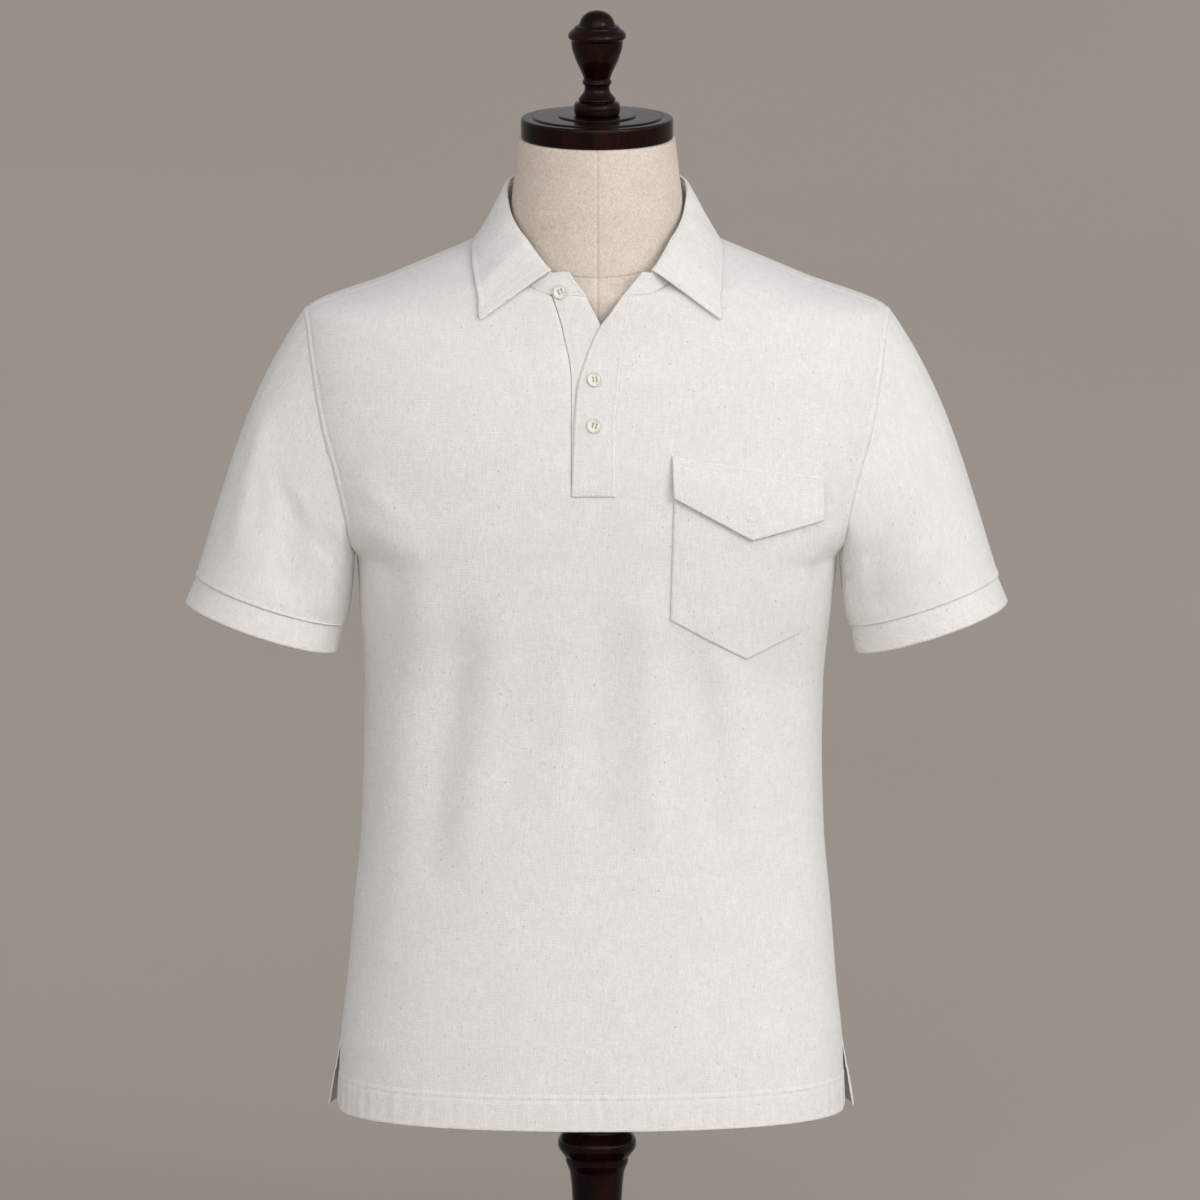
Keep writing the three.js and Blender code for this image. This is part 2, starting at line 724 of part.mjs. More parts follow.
function rollPoint({ side, turn }) {
  const x = side < 0 ? -roll.right(turn) : roll.left(turn);
  return new THREE.Vector3(x, roll.y(turn), roll.z(turn));
}

function necklineFrame({ side, turn }) {
  const at = (degrees) => plainBody(side * degrees * DEGREE, neckZ(degrees * DEGREE));
  const angle = side * turn * DEGREE;
  const n = normalOf(plainBody, angle, neckZ(angle));
  const tangent = at(turn + 0.1).sub(at(turn - 0.1));
  const across = tangent.cross(n).normalize();
  if (across.z < 0) across.negate();
  return { edge: { p: at(turn), n }, across };
}

// The stand rises from the neckline to the roll line
function collarStand() {
  const endRight = -angleAtX(STAND_END_RIGHT, NECK_FRONT) / DEGREE;
  const endLeft = angleAtX(STAND_END_LEFT, NECK_FRONT) / DEGREE;
  const columns = collarTurns(endRight, endLeft).map((place) => {
    const { edge, across } = necklineFrame(place);
    const top = rollPoint(place);
    const bottom = seamStart(edge, across, top.clone().sub(edge.p).normalize(), BAND / 2);
    return { bottom, top };
  });
  const rows = [0, 0.5, 1].map((v) => columns.map((c) => c.bottom.clone().lerp(c.top, v)));
  return wall(cellsOf(withNormals(rows)), BAND);
}

// Moves a point out where it would come nearer to the shirt's middle layer than a distance
function clearOfShirt(p, distance) {
  const s = bodySection(p.z);
  const x = p.x - s.lean;
  const depth = p.y < 0 ? s.front : s.back;
  const share = (Math.abs(x / s.half) ** s.square + Math.abs(p.y / depth) ** s.square) ** (1 / s.square);
  const radius = Math.hypot(x, p.y);
  const least = radius / share + distance;
  if (radius >= least) return p;
  return new THREE.Vector3(s.lean + (x * least) / radius, (p.y * least) / radius, p.z);
}

// The fall turns over the stand's top edge and comes down outside it to its free edge on the shirt
function collarFall() {
  const columns = collarTurns(FALL_END, FALL_END).map((place) => {
    const top = rollPoint(place);
    top.z += 4 * GAP + BAND / 2;
    const outward = new THREE.Vector3(top.x, top.y, 0).normalize();
    const angle = place.side * (place.side < 0 ? fall.right(place.turn) : fall.left(place.turn)) * DEGREE;
    const edge = shirt(angle, fall.z(place.turn), fall.lift(place.turn)).p;
    const over = top.clone().addScaledVector(outward, ROLL_WIDTH);
    over.z += ROLL_RISE;
    const down = edge.clone().lerp(top, 0.5).addScaledVector(outward, FALL_BULGE);
    return new THREE.CubicBezierCurve3(top, over, down, edge);
  });
  const rows = FALL_SHARES.map((v) => {
    const clear = v > FALL_CLEAR_FROM ? FALL_CLEAR : 0;
    return columns.map((c) => clearOfShirt(c.getPoint(v), clear));
  });
  return wall(cellsOf(withNormals(rows)), BAND);
}

// A strip on the shirt between two edges given by height, up to the neckline
const STRIP_ROWS = 14;
function strip(leftEdge, rightEdge, bottom, out, thick) {
  const top = (x) => neckZ(angleAtX(x, NECK_FRONT));
  const grid = Array.from({ length: STRIP_ROWS + 1 }, (_, i) =>
    [0, 1 / 3, 2 / 3, 1].map((w) => {
      const level = mix(bottom, NECK_FRONT, i / STRIP_ROWS);
      const x = mix(leftEdge(level), rightEdge(level), w);
      const z = mix(bottom, top(x), i / STRIP_ROWS);
      return shirt(angleAtX(x, z), z, out);
    }),
  );
  return wall(cellsOf(grid), thick);
}

const placketUnder = () => strip((z) => underSeam(z) + 2 * GAP, underFree, SLOT_BOTTOM + GAP, 0, CLOTH);
const UPPER_OUT = CLOTH / 2 + GAP + BAND / 2;
const placketUpper = () => strip(upperFree, upperSeam, PLACKET_BOTTOM, UPPER_OUT, BAND);

// A patch on the front between a top edge and a pointed bottom edge, in sideways place and height
function patch(outline, rows, columns, outAt, thick) {
  const { topLeft, topRight, bottomLeft, point, bottomRight } = outline;
  const share = (point[0] - bottomLeft[0]) / (bottomRight[0] - bottomLeft[0]);
  const bottomAt = (u) =>
    u < share
      ? [mix(bottomLeft[0], point[0], u / share), mix(bottomLeft[1], point[1], u / share)]
      : [
          mix(point[0], bottomRight[0], (u - share) / (1 - share)),
          mix(point[1], bottomRight[1], (u - share) / (1 - share)),
        ];
  const before = Math.round(columns * share);
  const places = Array.from({ length: columns + 1 }, (_, j) =>
    j <= before ? (share * j) / before : mix(share, 1, (j - before) / (columns - before)),
  );
  const grid = Array.from({ length: rows + 1 }, (_, i) => {
    const v = i / rows;
    return places.map((u) => {
      const low = bottomAt(u);
      const x = mix(mix(topLeft[0], topRight[0], u), low[0], v);
      const z = mix(mix(topLeft[1], topRight[1], u), low[1], v);
      return shirt(angleAtX(x, z), z, outAt(v, u));
    });
  });
  return wall(cellsOf(grid), thick);
}

const POCKET = {
  topLeft: [60, 698],
  topRight: [172.5, 676],
  bottomLeft: [57, 596],
  point: [115.4, 562],
  bottomRight: [156.8, 579],
};
const FLAP = {
  topLeft: [58.5, 725],
  topRight: [174.7, 705],
  bottomLeft: [59.5, 693.5],
  point: [118.7, 659.5],
  bottomRight: [172.5, 671.5],
};
const FLAP_OUT = 2.2;
const FLAP_LIFT = 4.4;
const POCKET_OUT = CLOTH + 3 * GAP;
const pocket = () => patch(POCKET, 8, 8, () => POCKET_OUT, CLOTH);
const flap = () => patch(FLAP, 6, 8, (v) => FLAP_OUT + FLAP_LIFT * Math.sin((v * Math.PI) / 2), BAND);

// A round button with a rim, a dished face and four holes, its back at z = 0
function buttonGeometry(thick) {
  const r = BUTTON_RADIUS;
  const profile = [
    [0, 0],
    [r - 1.2, 0],
    [r, 0.5 * thick],
    [r - 0.3, 0.85 * thick],
    [r - 1, thick],
    [r - 1.8, 0.7 * thick],
    [0, 0.7 * thick],
  ];
  const disc = new THREE.LatheGeometry(profile.map(([x, y]) => new THREE.Vector2(x, y)), 16);
  disc.rotateX(Math.PI / 2);
  let solid = toSolid(disc);
  for (const [x, y] of [[1, 1], [1, -1], [-1, 1], [-1, -1]]) {
    const hole = new THREE.CylinderGeometry(BUTTON_HOLE, BUTTON_HOLE, 4 * thick, 6);
    hole.rotateX(Math.PI / 2);
    hole.translate(x * BUTTON_HOLE_FROM_MIDDLE, y * BUTTON_HOLE_FROM_MIDDLE, 0);
    solid = solid.subtract(toSolid(hole));
  }
  return fromSolid(solid);
}

function toSolid(geometry) {
  const plain = geometry.clone();
  plain.deleteAttribute('normal');
  plain.deleteAttribute('uv');
  const merged = facingOut(mergeVertices(plain, 1e-4));
  const triVerts = Uint32Array.from(merged.index.array);
  const vertProperties = Float32Array.from(merged.attributes.position.array);
  return new wasm.Manifold(new wasm.Mesh({ numProp: 3, vertProperties, triVerts }));
}

function fromSolid(solid) {
  const { vertProperties, triVerts } = solid.getMesh();
  const geometry = new THREE.BufferGeometry();
  geometry.setAttribute('position', new THREE.BufferAttribute(vertProperties, 3));
  geometry.setIndex(new THREE.BufferAttribute(triVerts, 1));
  return geometry;
}

// The collar stand's button, at the seam below the stand's end on the wearer's right
const STAND_BUTTON = {
  p: new THREE.Vector3(-28.2, -85, 850.6),
  n: new THREE.Vector3(-0.15, -0.95, 0.25).normalize(),
};

// The other buttons: sideways place and height on the shirt, and their backs' distance from its middle layer
const BUTTONS = table('name x z out thick', [
  ['button_2', -1.6, 784, UPPER_OUT + BAND / 2 + GAP, BUTTON_THICK],
  ['button_3', -1.9, 749, UPPER_OUT + BAND / 2 + GAP, BUTTON_THICK],
  ['pocket_button', 119.7, 675, POCKET_OUT + CLOTH / 2 + GAP, 1.7],
]);

// The dress form's own sections; above the arms it follows the shirt's shoulders just under the cloth
const FORM = table('z half front back', [
  [207, 170, 85, 88],
  [216, 177, 91, 94],
  [291, 176, 91, 94],
  [354, 171, 89, 90],
  [417, 166, 87, 84],
  [481, 164, 87, 80],
  [528, 165, 89, 80],
  [592, 170, 95, 88],
  [632, 173, 99, 96],
  [668, 179, 101, 100],
  [701, 186, 101, 103],
  [736, 195, 98.5, 104.5],
  [779, 206, 92, 103],
  [800, 207, 86, 98],
  [818, 207, 82, 90],
]);
const form = curves(FORM, 'z');
const FORM_SHOULDER = 826;
const FORM_INSET = table('z inset', [[FORM_SHOULDER, 8], [847, 4.8], [862, 5.2], [880, 7]]);
const formInset = curve(FORM_INSET, 'z', 'inset');
const NECK_START = 840;
const NECK = table('z radius', [
  [NECK_START, 70],
  [855, 73],
  [862, 72.5],
  [880, 69.5],
  [905, 67],
  [930, 64],
  [NECK_TOP, 60.8],
]);
const neckRadius = curve(NECK, 'z', 'radius');
const NECK_BLEND = 3;
const FORM_HEIGHTS = [
  FORM_BOTTOM, 216, 250, 291, 354, 417, 481, 528, 560, 592, 632, 668, 701, 736, 765, 790, 808,
  818, 826, 834, 842, 850, 858, 866, 874, 882, 893, 905, 930, NECK_TOP,
];
const FORM_COLUMNS = 28;

function formSection(z) {
  if (z < FORM_SHOULDER) {
    return { half: form.half(z), front: form.front(z), back: form.back(z), lean: 0, square: 2.2 };
  }
  const s = bodySection(Math.min(z, NECK_SIDE));
  const inset = formInset(z);
  return {
    half: s.half - inset,
    front: s.front - inset,
    back: s.back - inset,
    lean: 0,
    square: s.square,
  };
}

// The shoulders and the neck run into each other softly
function formPoint(angle, z) {
  const p = sectionPoint(formSection(z), angle, z);
  const shoulders = Math.hypot(p.x, p.y);
  const neck = neckRadius(z);
  let radius = shoulders;
  if (z > NECK_SIDE) radius = neck;
  else if (z >= NECK_START) radius = (shoulders + neck + Math.hypot(shoulders - neck, NECK_BLEND)) / 2;
  return new THREE.Vector3((p.x * radius) / shoulders, (p.y * radius) / shoulders, z);
}

function formTorso() {
  const rings = FORM_HEIGHTS.map((z) =>
    Array.from({ length: FORM_COLUMNS }, (_, j) => formPoint((2 * Math.PI * j) / FORM_COLUMNS, z)),
  );
  const positions = rings.flat().flatMap((p) => p.toArray());
  const index = [];
  const count = FORM_COLUMNS;
  for (let i = 0; i + 1 < rings.length; i += 1) {
    for (let j = 0; j < count; j += 1) {
      const k = (j + 1) % count;
      const [a, b, c, d] = [i * count + j, i * count + k, (i + 1) * count + k, (i + 1) * count + j];
      index.push(a, b, c, a, c, d);
    }
  }
  const bottom = positions.length / 3;
  positions.push(0, 0, FORM_BOTTOM, 0, 0, NECK_TOP);
  const lastRing = (rings.length - 1) * count;
  for (let j = 0; j < count; j += 1) {
    const k = (j + 1) % count;
    index.push(k, j, bottom, lastRing + j, lastRing + k, bottom + 1);
  }
  return closed(positions, index);
}

// Turned pieces: radius and height above each piece's own bottom
function turned(profile, segments) {
  const points = profile.map(([radius, height]) => new THREE.Vector2(radius, height));
  const geometry = new THREE.LatheGeometry(points, segments);
  geometry.rotateX(Math.PI / 2);
  geometry.deleteAttribute('normal');
  geometry.deleteAttribute('uv');
  return facingOut(mergeVertices(geometry, 1e-4));
}

const CAP = [
  [0, 0], [57, 0], [59.3, 1.6], [59.3, 12.6], [57, CAP_THICK], [50.5, CAP_THICK], [50, 16.6],
  [31, 16.6], [30, CAP_HEIGHT], [0, CAP_HEIGHT],
];
const FINIAL = [
  [0, 0], [15, 0], [17.8, 3.5], [18, 8], [17.2, 12.5], [14.4, 15], [10.6, 18.5], [9.4, 23], [10.2, 25.6],
  [11.3, 28], [10.5, 30], [13, 35], [17.5, 43], [20, 53], [20.6, 58], [22.2, 60], [22.4, 64], [21.6, 67.2],
  [17.8, 68], [17.4, 72], [14.6, 73], [13.2, 76], [9.5, 79.4], [5, 81.2], [0, 81.8],
];
const POST = [
  [0, 0], [34, 0], [34, 4], [27, 9], [21, 16], [18.5, 28], [17.8, 50], [18.6, 74], [20, 100], [21.4, 112],
  [24.6, 119], [24.6, 123], [26, 124.5], [30.2, 130], [31, 135], [29, 140.5], [25.5, 143.8],
  [25.5, POST_HEIGHT], [0, POST_HEIGHT],
];
const BASE = [
  [0, 0], [163, 0], [165, 2.5], [165, 9], [160, 13], [152, 15], [148, 19], [70, 23], [52, BASE_TOP],
  [0, BASE_TOP],
];

const LINEN = { color: 0xefece8, roughness: 0.9, metalness: 0 };
const COVER = { color: 0xd8c8b3, roughness: 0.9, metalness: 0 };
const SHELL = { color: 0xebe7e0, roughness: 0.35, metalness: 0 };
const WOOD = { color: 0x1d0f0a, roughness: 0.3, metalness: 0 };

const model = new THREE.Group();

function add(name, geometry, look) {
  const mesh = new THREE.Mesh(geometry, new THREE.MeshStandardMaterial(look));
  mesh.name = name;
  model.add(mesh);
  return mesh;
}

add('front', frontPanel(), LINEN);
add('back', backPanel(), LINEN);
add('sleeve_right', sleeve(-1), LINEN);
add('sleeve_left', sleeve(1), LINEN);
add('cuff_right', cuff(-1), LINEN);
add('cuff_left', cuff(1), LINEN);
add('collar_stand', collarStand(), LINEN);
add('collar', collarFall(), LINEN);
add('placket_under', placketUnder(), LINEN);
add('placket_top', placketUpper(), LINEN);
add('pocket', pocket(), LINEN);
add('pocket_flap', flap(), LINEN);

function addButton(name, thick, { p, n }) {
  const mesh = add(name, buttonGeometry(thick), SHELL);
  mesh.position.copy(p);
  mesh.quaternion.setFromUnitVectors(new THREE.Vector3(0, 0, 1), n);
}

addButton('button_1', BUTTON_THICK, STAND_BUTTON);
for (const { name, x, z, out, thick } of BUTTONS) addButton(name, thick, shirt(angleAtX(x, z), z, out));

add('form_torso', formTorso(), COVER);
add('neck_cap', turned(CAP, 32), WOOD).position.z = NECK_TOP + GAP;
add('finial', turned(FINIAL, 16), WOOD).position.z = NECK_TOP + CAP_HEIGHT + 2 * GAP;
add('post', turned(POST, 20), WOOD).position.z = BASE_TOP + GAP;
add('base', turned(BASE, 40), WOOD);

export default model;
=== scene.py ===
"""Looks of a linen polo shirt on a covered dress form with turned dark wood.

The cloth pieces are worked out from the same named sizes as the solids that they stand for, in millimetres,
with finer folds, hems, stitching and thickness. Meshes are turned into metres when they are made.
"""
import math

import bpy
import numpy as np
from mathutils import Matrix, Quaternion, Vector
from mathutils.kdtree import KDTree


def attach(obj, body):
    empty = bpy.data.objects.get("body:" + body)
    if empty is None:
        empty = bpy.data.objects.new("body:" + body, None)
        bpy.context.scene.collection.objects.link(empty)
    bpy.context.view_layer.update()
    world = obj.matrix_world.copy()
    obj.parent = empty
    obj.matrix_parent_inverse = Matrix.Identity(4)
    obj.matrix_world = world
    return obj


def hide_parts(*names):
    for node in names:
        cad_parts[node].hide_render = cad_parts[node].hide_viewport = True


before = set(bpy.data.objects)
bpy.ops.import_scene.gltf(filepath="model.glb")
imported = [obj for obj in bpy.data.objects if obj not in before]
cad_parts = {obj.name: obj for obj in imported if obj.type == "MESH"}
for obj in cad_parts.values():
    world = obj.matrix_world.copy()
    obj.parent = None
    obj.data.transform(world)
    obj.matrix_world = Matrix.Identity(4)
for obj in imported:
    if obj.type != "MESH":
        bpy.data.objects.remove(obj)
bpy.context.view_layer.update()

MM = 0.001
DEG = math.pi / 180

# Sizes shared with the solids
GAP = 0.3
CLOTH = 1.2
BAND = 1.6
CUFF = 2.4
HEM = 190.0
VENT_TOP = 245.0
ARMPIT = 632.0
SLOT_BOTTOM = 702.0
SHOULDER_TIP = 820.0
NECK_FRONT = 847.0
NECK_SIDE = 882.5
TIP_HALF = 228.5
NECK_HALF = 79.0
SEAM_FORWARD = 7.0
VENT_FLARE = 7.0
HEM_CORNER = 4.0
BACK_WIDER = 4.0
CUFF_SEAM = np.array([254.4, -4.0, 594.0])
CUFF_HALF_WIDTH = 61.0
CUFF_HALF_DEPTH = 55.0
CUFF_HEIGHT = 22.5
CUFF_FLARE = 2.0
ARM_LEAN = 18 * DEG
FORM_BOTTOM = 207.0
NECK_TOP = 957.0
CAP_HEIGHT = 18.4
BASE_TOP = 25.7
SLOPE_STEP = 0.002
TURN_STEP = 0.02
HEIGHT_STEP = 0.4


def mix(a, b, t):
    return a + (b - a) * t


def smooth(low, high, v):
    t = np.clip((v - low) / (high - low), 0, 1)
    return t * t * (3 - 2 * t)


def signed_power(v, power):
    return np.sign(v) * np.abs(v) ** power


def unit(v):
    return v / np.maximum(np.linalg.norm(v, axis=-1, keepdims=True), 1e-12)


class Curve:
    """A curve through a table's column that never swings past its values."""

    def __init__(self, x, y):
        self.x = np.array(x, float)
        self.y = np.array(y, float)
        step = np.diff(self.y) / np.diff(self.x)
        self.slope = np.zeros(len(self.x))
        self.slope[0], self.slope[-1] = step[0], step[-1]
        before, after = step[:-1], step[1:]
        same = before * after > 0
        self.slope[1:-1][same] = (2 * before * after)[same] / (before + after)[same]

    def __call__(self, v):
        v = np.asarray(v, float)
        i = np.clip(np.searchsorted(self.x, v, side="right") - 1, 0, len(self.x) - 2)
        h = self.x[i + 1] - self.x[i]
        t = np.clip((v - self.x[i]) / h, 0, 1)
        bend = t * t * (3 - 2 * t)
        inside = mix(self.y[i], self.y[i + 1], bend)
        inside = inside + h * t * (1 - t) * (self.slope[i] * (1 - t) - self.slope[i + 1] * t)
        low = np.minimum(v - self.x[0], 0) * self.slope[0]
        high = np.maximum(v - self.x[-1], 0) * self.slope[-1]
        return inside + low + high


def curves(names, rows):
    columns = list(zip(*rows))
    return {name: Curve(columns[0], column) for name, column in zip(names.split()[1:], columns[1:])}


def solve(f, low, high):
    """Where a rising function crosses zero."""
    for _ in range(50):
        middle = (low + high) / 2
        if f(middle) > 0:
            high = middle
        else:
            low = middle
    return (low + high) / 2


def ridge(z):
    return mix(TIP_HALF, NECK_HALF, (z - SHOULDER_TIP) / (NECK_SIDE - SHOULDER_TIP))


# Level sections of the worn shirt
BODY = curves("z half front back lean square", [
    (180, 198, 103, 103.5, -4.6, 2.3),
    (245, 195.5, 103, 106, -4.4, 2.3),
    (290, 190.7, 102, 106, -4.2, 2.3),
    (354, 185.3, 100, 102, -3.7, 2.3),
    (417, 179.8, 99, 96, -3.5, 2.3),
    (481, 178.2, 99.5, 92, -3.3, 2.3),
    (528, 178.3, 101.5, 92, -2.4, 2.3),
    (560, 180.6, 104, 95, -1.7, 2.4),
    (592, 183.7, 107, 99, -1, 2.6),
    (625, 186.3, 108.7, 103, 0, 2.85),
    (632, 187, 109, 104, 0, 2.9),
    (637, 190.5, 109.4, 104.8, 0, 2.85),
    (645, 199, 110, 106, 0, 2.75),
    (668, 217, 111, 108, 0, 2.55),
    (701, 231, 111, 111, 0, 2.35),
    (736, 237, 107.5, 112, 0, 2.3),
    (779, 237, 100, 110, 0, 2.25),
    (800, 234, 94.5, 107, 0, 2.2),
    (820, ridge(820), 90, 103.5, 0, 2.1),
    (847, ridge(847), 86, 97, 0, 2),
    (858, ridge(858), 73, 93.5, 0, 2),
    (864, ridge(864), 66.5, 91, 0, 2),
    (872.5, ridge(872.5), 54, 87, 0, 2),
    (882.5, ridge(882.5), 38, 82, 0, 2),
    (893, 73.5, 36, 77, 0, 2),
])

# Large soft folds: face, from x z to x z, width, height
FOLDS = [
    (-1, -191, 708, -128, 632, 14, 2.6),
    (-1, -128, 660, -165, 410, 16, 3),
    (-1, -100, 625, -135, 370, 15, -3.2),
    (-1, -68, 625, -107, 360, 16, 2.6),
    (-1, 6, 635, 2, 390, 18, -1.9),
    (-1, 34, 650, 46, 390, 15, 2.6),
    (-1, 72, 590, 97, 390, 14, -2.4),
    (-1, 98, 590, 128, 370, 14, 2.3),
    (-1, 139, 600, 158, 350, 12, -2),
    (1, -150, 690, -92, 560, 15, 2.6),
    (1, -120, 610, -150, 350, 15, -2.6),
    (1, -82, 640, -112, 380, 15, 2.8),
    (1, -36, 610, -52, 330, 17, -2.4),
    (1, -4, 660, 6, 420, 16, 2.2),
    (1, 44, 600, 60, 360, 16, -2.8),
    (1, 88, 640, 104, 390, 15, 2.6),
    (1, 128, 590, 150, 370, 13, -2.2),
    (1, 160, 700, 110, 590, 14, 2.2),
]

# Small soft creases of the cloth, not in the solids
CREASES = [
    (-1, -100, 838, -58, 800, 7, 0.7),
    (-1, -88, 822, -42, 790, 6, -0.6),
    (-1, -62, 826, -34, 806, 5, 0.6),
    (-1, -190, 690, -140, 655, 7, -1.1),
    (-1, -186, 672, -146, 640, 6, 0.9),
    (-1, -184, 655, -150, 610, 6, -0.9),
    (-1, 186, 668, 160, 632, 7, 0.9),
    (-1, 184, 652, 164, 610, 6, -0.8),
    (-1, -24, 697, -40, 655, 7, -0.7),
    (-1, 16, 690, 26, 660, 7, 0.5),
    (-1, -20, 560, -34, 430, 10, 0.7),
    (-1, 62, 520, 58, 400, 10, -0.7),
    (-1, -150, 420, -168, 300, 10, 0.8),
    (-1, 142, 420, 166, 300, 9, 0.8),
    (-1, -60, 330, -66, 232, 12, 0.6),
    (-1, 84, 330, 92, 236, 12, -0.6),
    (-1, -205, 806, -150, 812, 7, 0.5),
    (-1, 205, 800, 150, 806, 7, 0.5),
    (1, -180, 680, -138, 640, 7, 1.0),
    (1, 182, 690, 142, 645, 7, -1.0),
    (1, -60, 500, -48, 380, 10, 0.8),
    (1, 30, 560, 24, 430, 10, -0.8),
    (1, 120, 430, 150, 320, 10, 0.8),
    (1, -120, 842, -70, 832, 8, 0.6),
    (1, 118, 838, 64, 830, 8, 0.6),
    (1, -20, 790, -8, 700, 12, 0.7),
]


def line_fold(row, x, z):
    """Height of a soft ridge or trough along a line, fading out at its ends."""
    _, x0, z0, x1, z1, width, height = row
    dx, dz = x1 - x0, z1 - z0
    length = math.hypot(dx, dz)
    along = ((x - x0) * dx + (z - z0) * dz) / length ** 2
    aside = ((x - x0) * dz - (z - z0) * dx) / length
    ends = smooth(0, 0.25, along) * (1 - smooth(0.75, 1, along))
    return height * ends * np.exp(-((aside / width) ** 2))


def section_point(s, angle, z):
    power = 2 / s["square"]
    across = signed_power(np.sin(angle), power)
    ahead = signed_power(np.cos(angle), power)
    depth = np.where(ahead > 0, s["front"], s["back"])
    x = s["lean"] + s["half"] * across
    return np.stack([x, -depth * ahead, z + 0 * x], -1)


def body_section(z):
    return {name: curve(z) for name, curve in BODY.items()}


def normal_of(surface, angle, z):
    around = surface(angle + SLOPE_STEP, z) - surface(angle - SLOPE_STEP, z)
    up = surface(angle, z + HEIGHT_STEP) - surface(angle, z - HEIGHT_STEP)
    return unit(np.cross(around, up))


def plain_body(angle, z):
    return section_point(body_section(z), angle, z)


def folded_body(angle, z):
    point = plain_body(angle, z)
    face = np.where(np.cos(angle) > 0, -1, 1)
    fade = smooth(0.04, 0.34, np.abs(np.cos(angle)))
    height = 0
    for row in FOLDS + CREASES:
        height = height + np.where(face == row[0], line_fold(row, point[..., 0], z), 0)
    return point + normal_of(plain_body, angle, z) * (height * fade)[..., None]


def shirt(angle, z, out=0.0):
    """A point of the shirt, moved out from its middle layer, with the outward normal there."""
    angle, z = np.broadcast_arrays(np.asarray(angle, float), np.asarray(z, float))
    n = normal_of(folded_body, angle, z)
    return folded_body(angle, z) + n * np.asarray(out, float)[..., None], n


def angle_at_x(x, z):
    share = np.clip((x - BODY["lean"](z)) / BODY["half"](z), -1, 1)
    return np.arcsin(signed_power(share, BODY["square"](z) / 2))


def angle_at_y(y, z):
    depth = BODY["front"](z) if y < 0 else BODY["back"](z)
    share = (abs(y) / depth) ** (BODY["square"](z) / 2)
    return np.arccos(share) if y < 0 else math.pi - np.arccos(share)


armhole_x = Curve(
    [632, 634, 638, 645, 668, 701, 736, 779, 800, 812, SHOULDER_TIP],
    [187, 187.15, 188.6, 191.3, 195.8, 203.6, 213.7, 221.5, 224.5, 226, TIP_HALF],
)


def armhole(turn):
    """Once round the armhole: 0 at the armpit, up the front, 0.5 on the ridge, down the back."""
    turn = np.asarray(turn, float)
    z = mix(ARMPIT, SHOULDER_TIP, (1 - np.cos(2 * np.pi * turn)) / 2)
    behind = turn > 0.5
    wider = np.where(behind, BACK_WIDER * np.sin(2 * np.pi * turn) ** 2, 0)
    share = np.minimum(1, (armhole_x(z) + wider) / BODY["half"](z))
    angle = np.arcsin(share ** (BODY["square"](z) / 2))
    return np.where(behind, math.pi - angle, angle), z


neck_curve = Curve(
    [0, 13, 20, 26, 33, 46, 58, 78, 90, 110, 128, 146, 180],
    [846.5, 848, 852.5, 858, 864, 872.5, 877.5, 881.5, 882.5, 886, 889.5, 891.5, 893],
)


def neck_z(angle):
    return neck_curve(np.abs(angle) / DEG)


def tip_gap(turn):
    angle, z = armhole(turn)
    return angle - angle_at_y(-SEAM_FORWARD, z)


TIP_TURN = solve(tip_gap, 0.4, 0.5)
NECK_SEAM = solve(lambda a: a - angle_at_y(-SEAM_FORWARD, neck_z(a)), 60 * DEG, 89 * DEG)

# Placket edges by height
under_seam = Curve([696, 784, 796, 812, 827, 848], [-20.3, -20.3, -21.5, -25, -28.5, -35.5])
under_free = Curve([696, 770, 790, 806, 824, 836, 847], [7, 7, 6.5, 5, 2.7, -3, -8.6])
upper_seam = Curve([694, 750, 770, 789, 806, 824, 848], [14, 14, 15.6, 17.9, 20.3, 22.6, 27])
upper_free = Curve(
    [694, 745, 775, 786, 797, 812, 824, 833, 848],
    [-19.5, -17.9, -15.6, -13.3, -9.4, -3.5, 2.3, 9.4, 20.3],
)
SLOT_INSET = 5.0
PLACKET_BOTTOM = 694.0


# Arc lengths of the plain shirt from the centre front and from the hem, to lay the weave out flat
ARC_ANGLES = np.linspace(0, math.pi, 241)
ARC_HEIGHTS = np.linspace(176, 900, 182)


def arc_tables():
    a, z = np.meshgrid(ARC_ANGLES, ARC_HEIGHTS)
    p = plain_body(a, z)
    across = np.linalg.norm(np.diff(p, axis=1), axis=-1)
    up = np.linalg.norm(np.diff(p, axis=0), axis=-1)
    across = np.concatenate([np.zeros((len(ARC_HEIGHTS), 1)), np.cumsum(across, 1)], 1)
    up = np.concatenate([np.zeros((1, len(ARC_ANGLES))), np.cumsum(up, 0)], 0)
    return across, up


ARC_ACROSS, ARC_UP = arc_tables()


def table_at(table, angle, z):
    i = np.clip((z - ARC_HEIGHTS[0]) / (ARC_HEIGHTS[1] - ARC_HEIGHTS[0]), 0, len(ARC_HEIGHTS) - 1.001)
    j = np.clip(np.abs(angle) / (ARC_ANGLES[1] - ARC_ANGLES[0]), 0, len(ARC_ANGLES) - 1.001)
    i0, j0 = i.astype(int), j.astype(int)
    fi, fj = i - i0, j - j0
    low = mix(table[i0, j0], table[i0, j0 + 1], fj)
    high = mix(table[i0 + 1, j0], table[i0 + 1, j0 + 1], fj)
    return mix(low, high, fi)


def flat_front(angle, z):
    """Where a point of the front lies on the cut cloth: across from the centre front, and up."""
    return np.stack([np.sign(angle) * table_at(ARC_ACROSS, angle, z), table_at(ARC_UP, angle, z)], -1)


def flat_back(angle, z):
    whole = table_at(ARC_ACROSS, np.full_like(angle, math.pi), z)
    across = -np.sign(angle) * (whole - table_at(ARC_ACROSS, angle, z))
    return np.stack([across, table_at(ARC_UP, angle, z)], -1)


def tree_of(points):
    """A search tree for the nearest of some points."""
    tree = KDTree(len(points))
    for i, p in enumerate(points):
        tree.insert(p, i)
    tree.balance()
    return tree


SEAM_REACH = 5.0


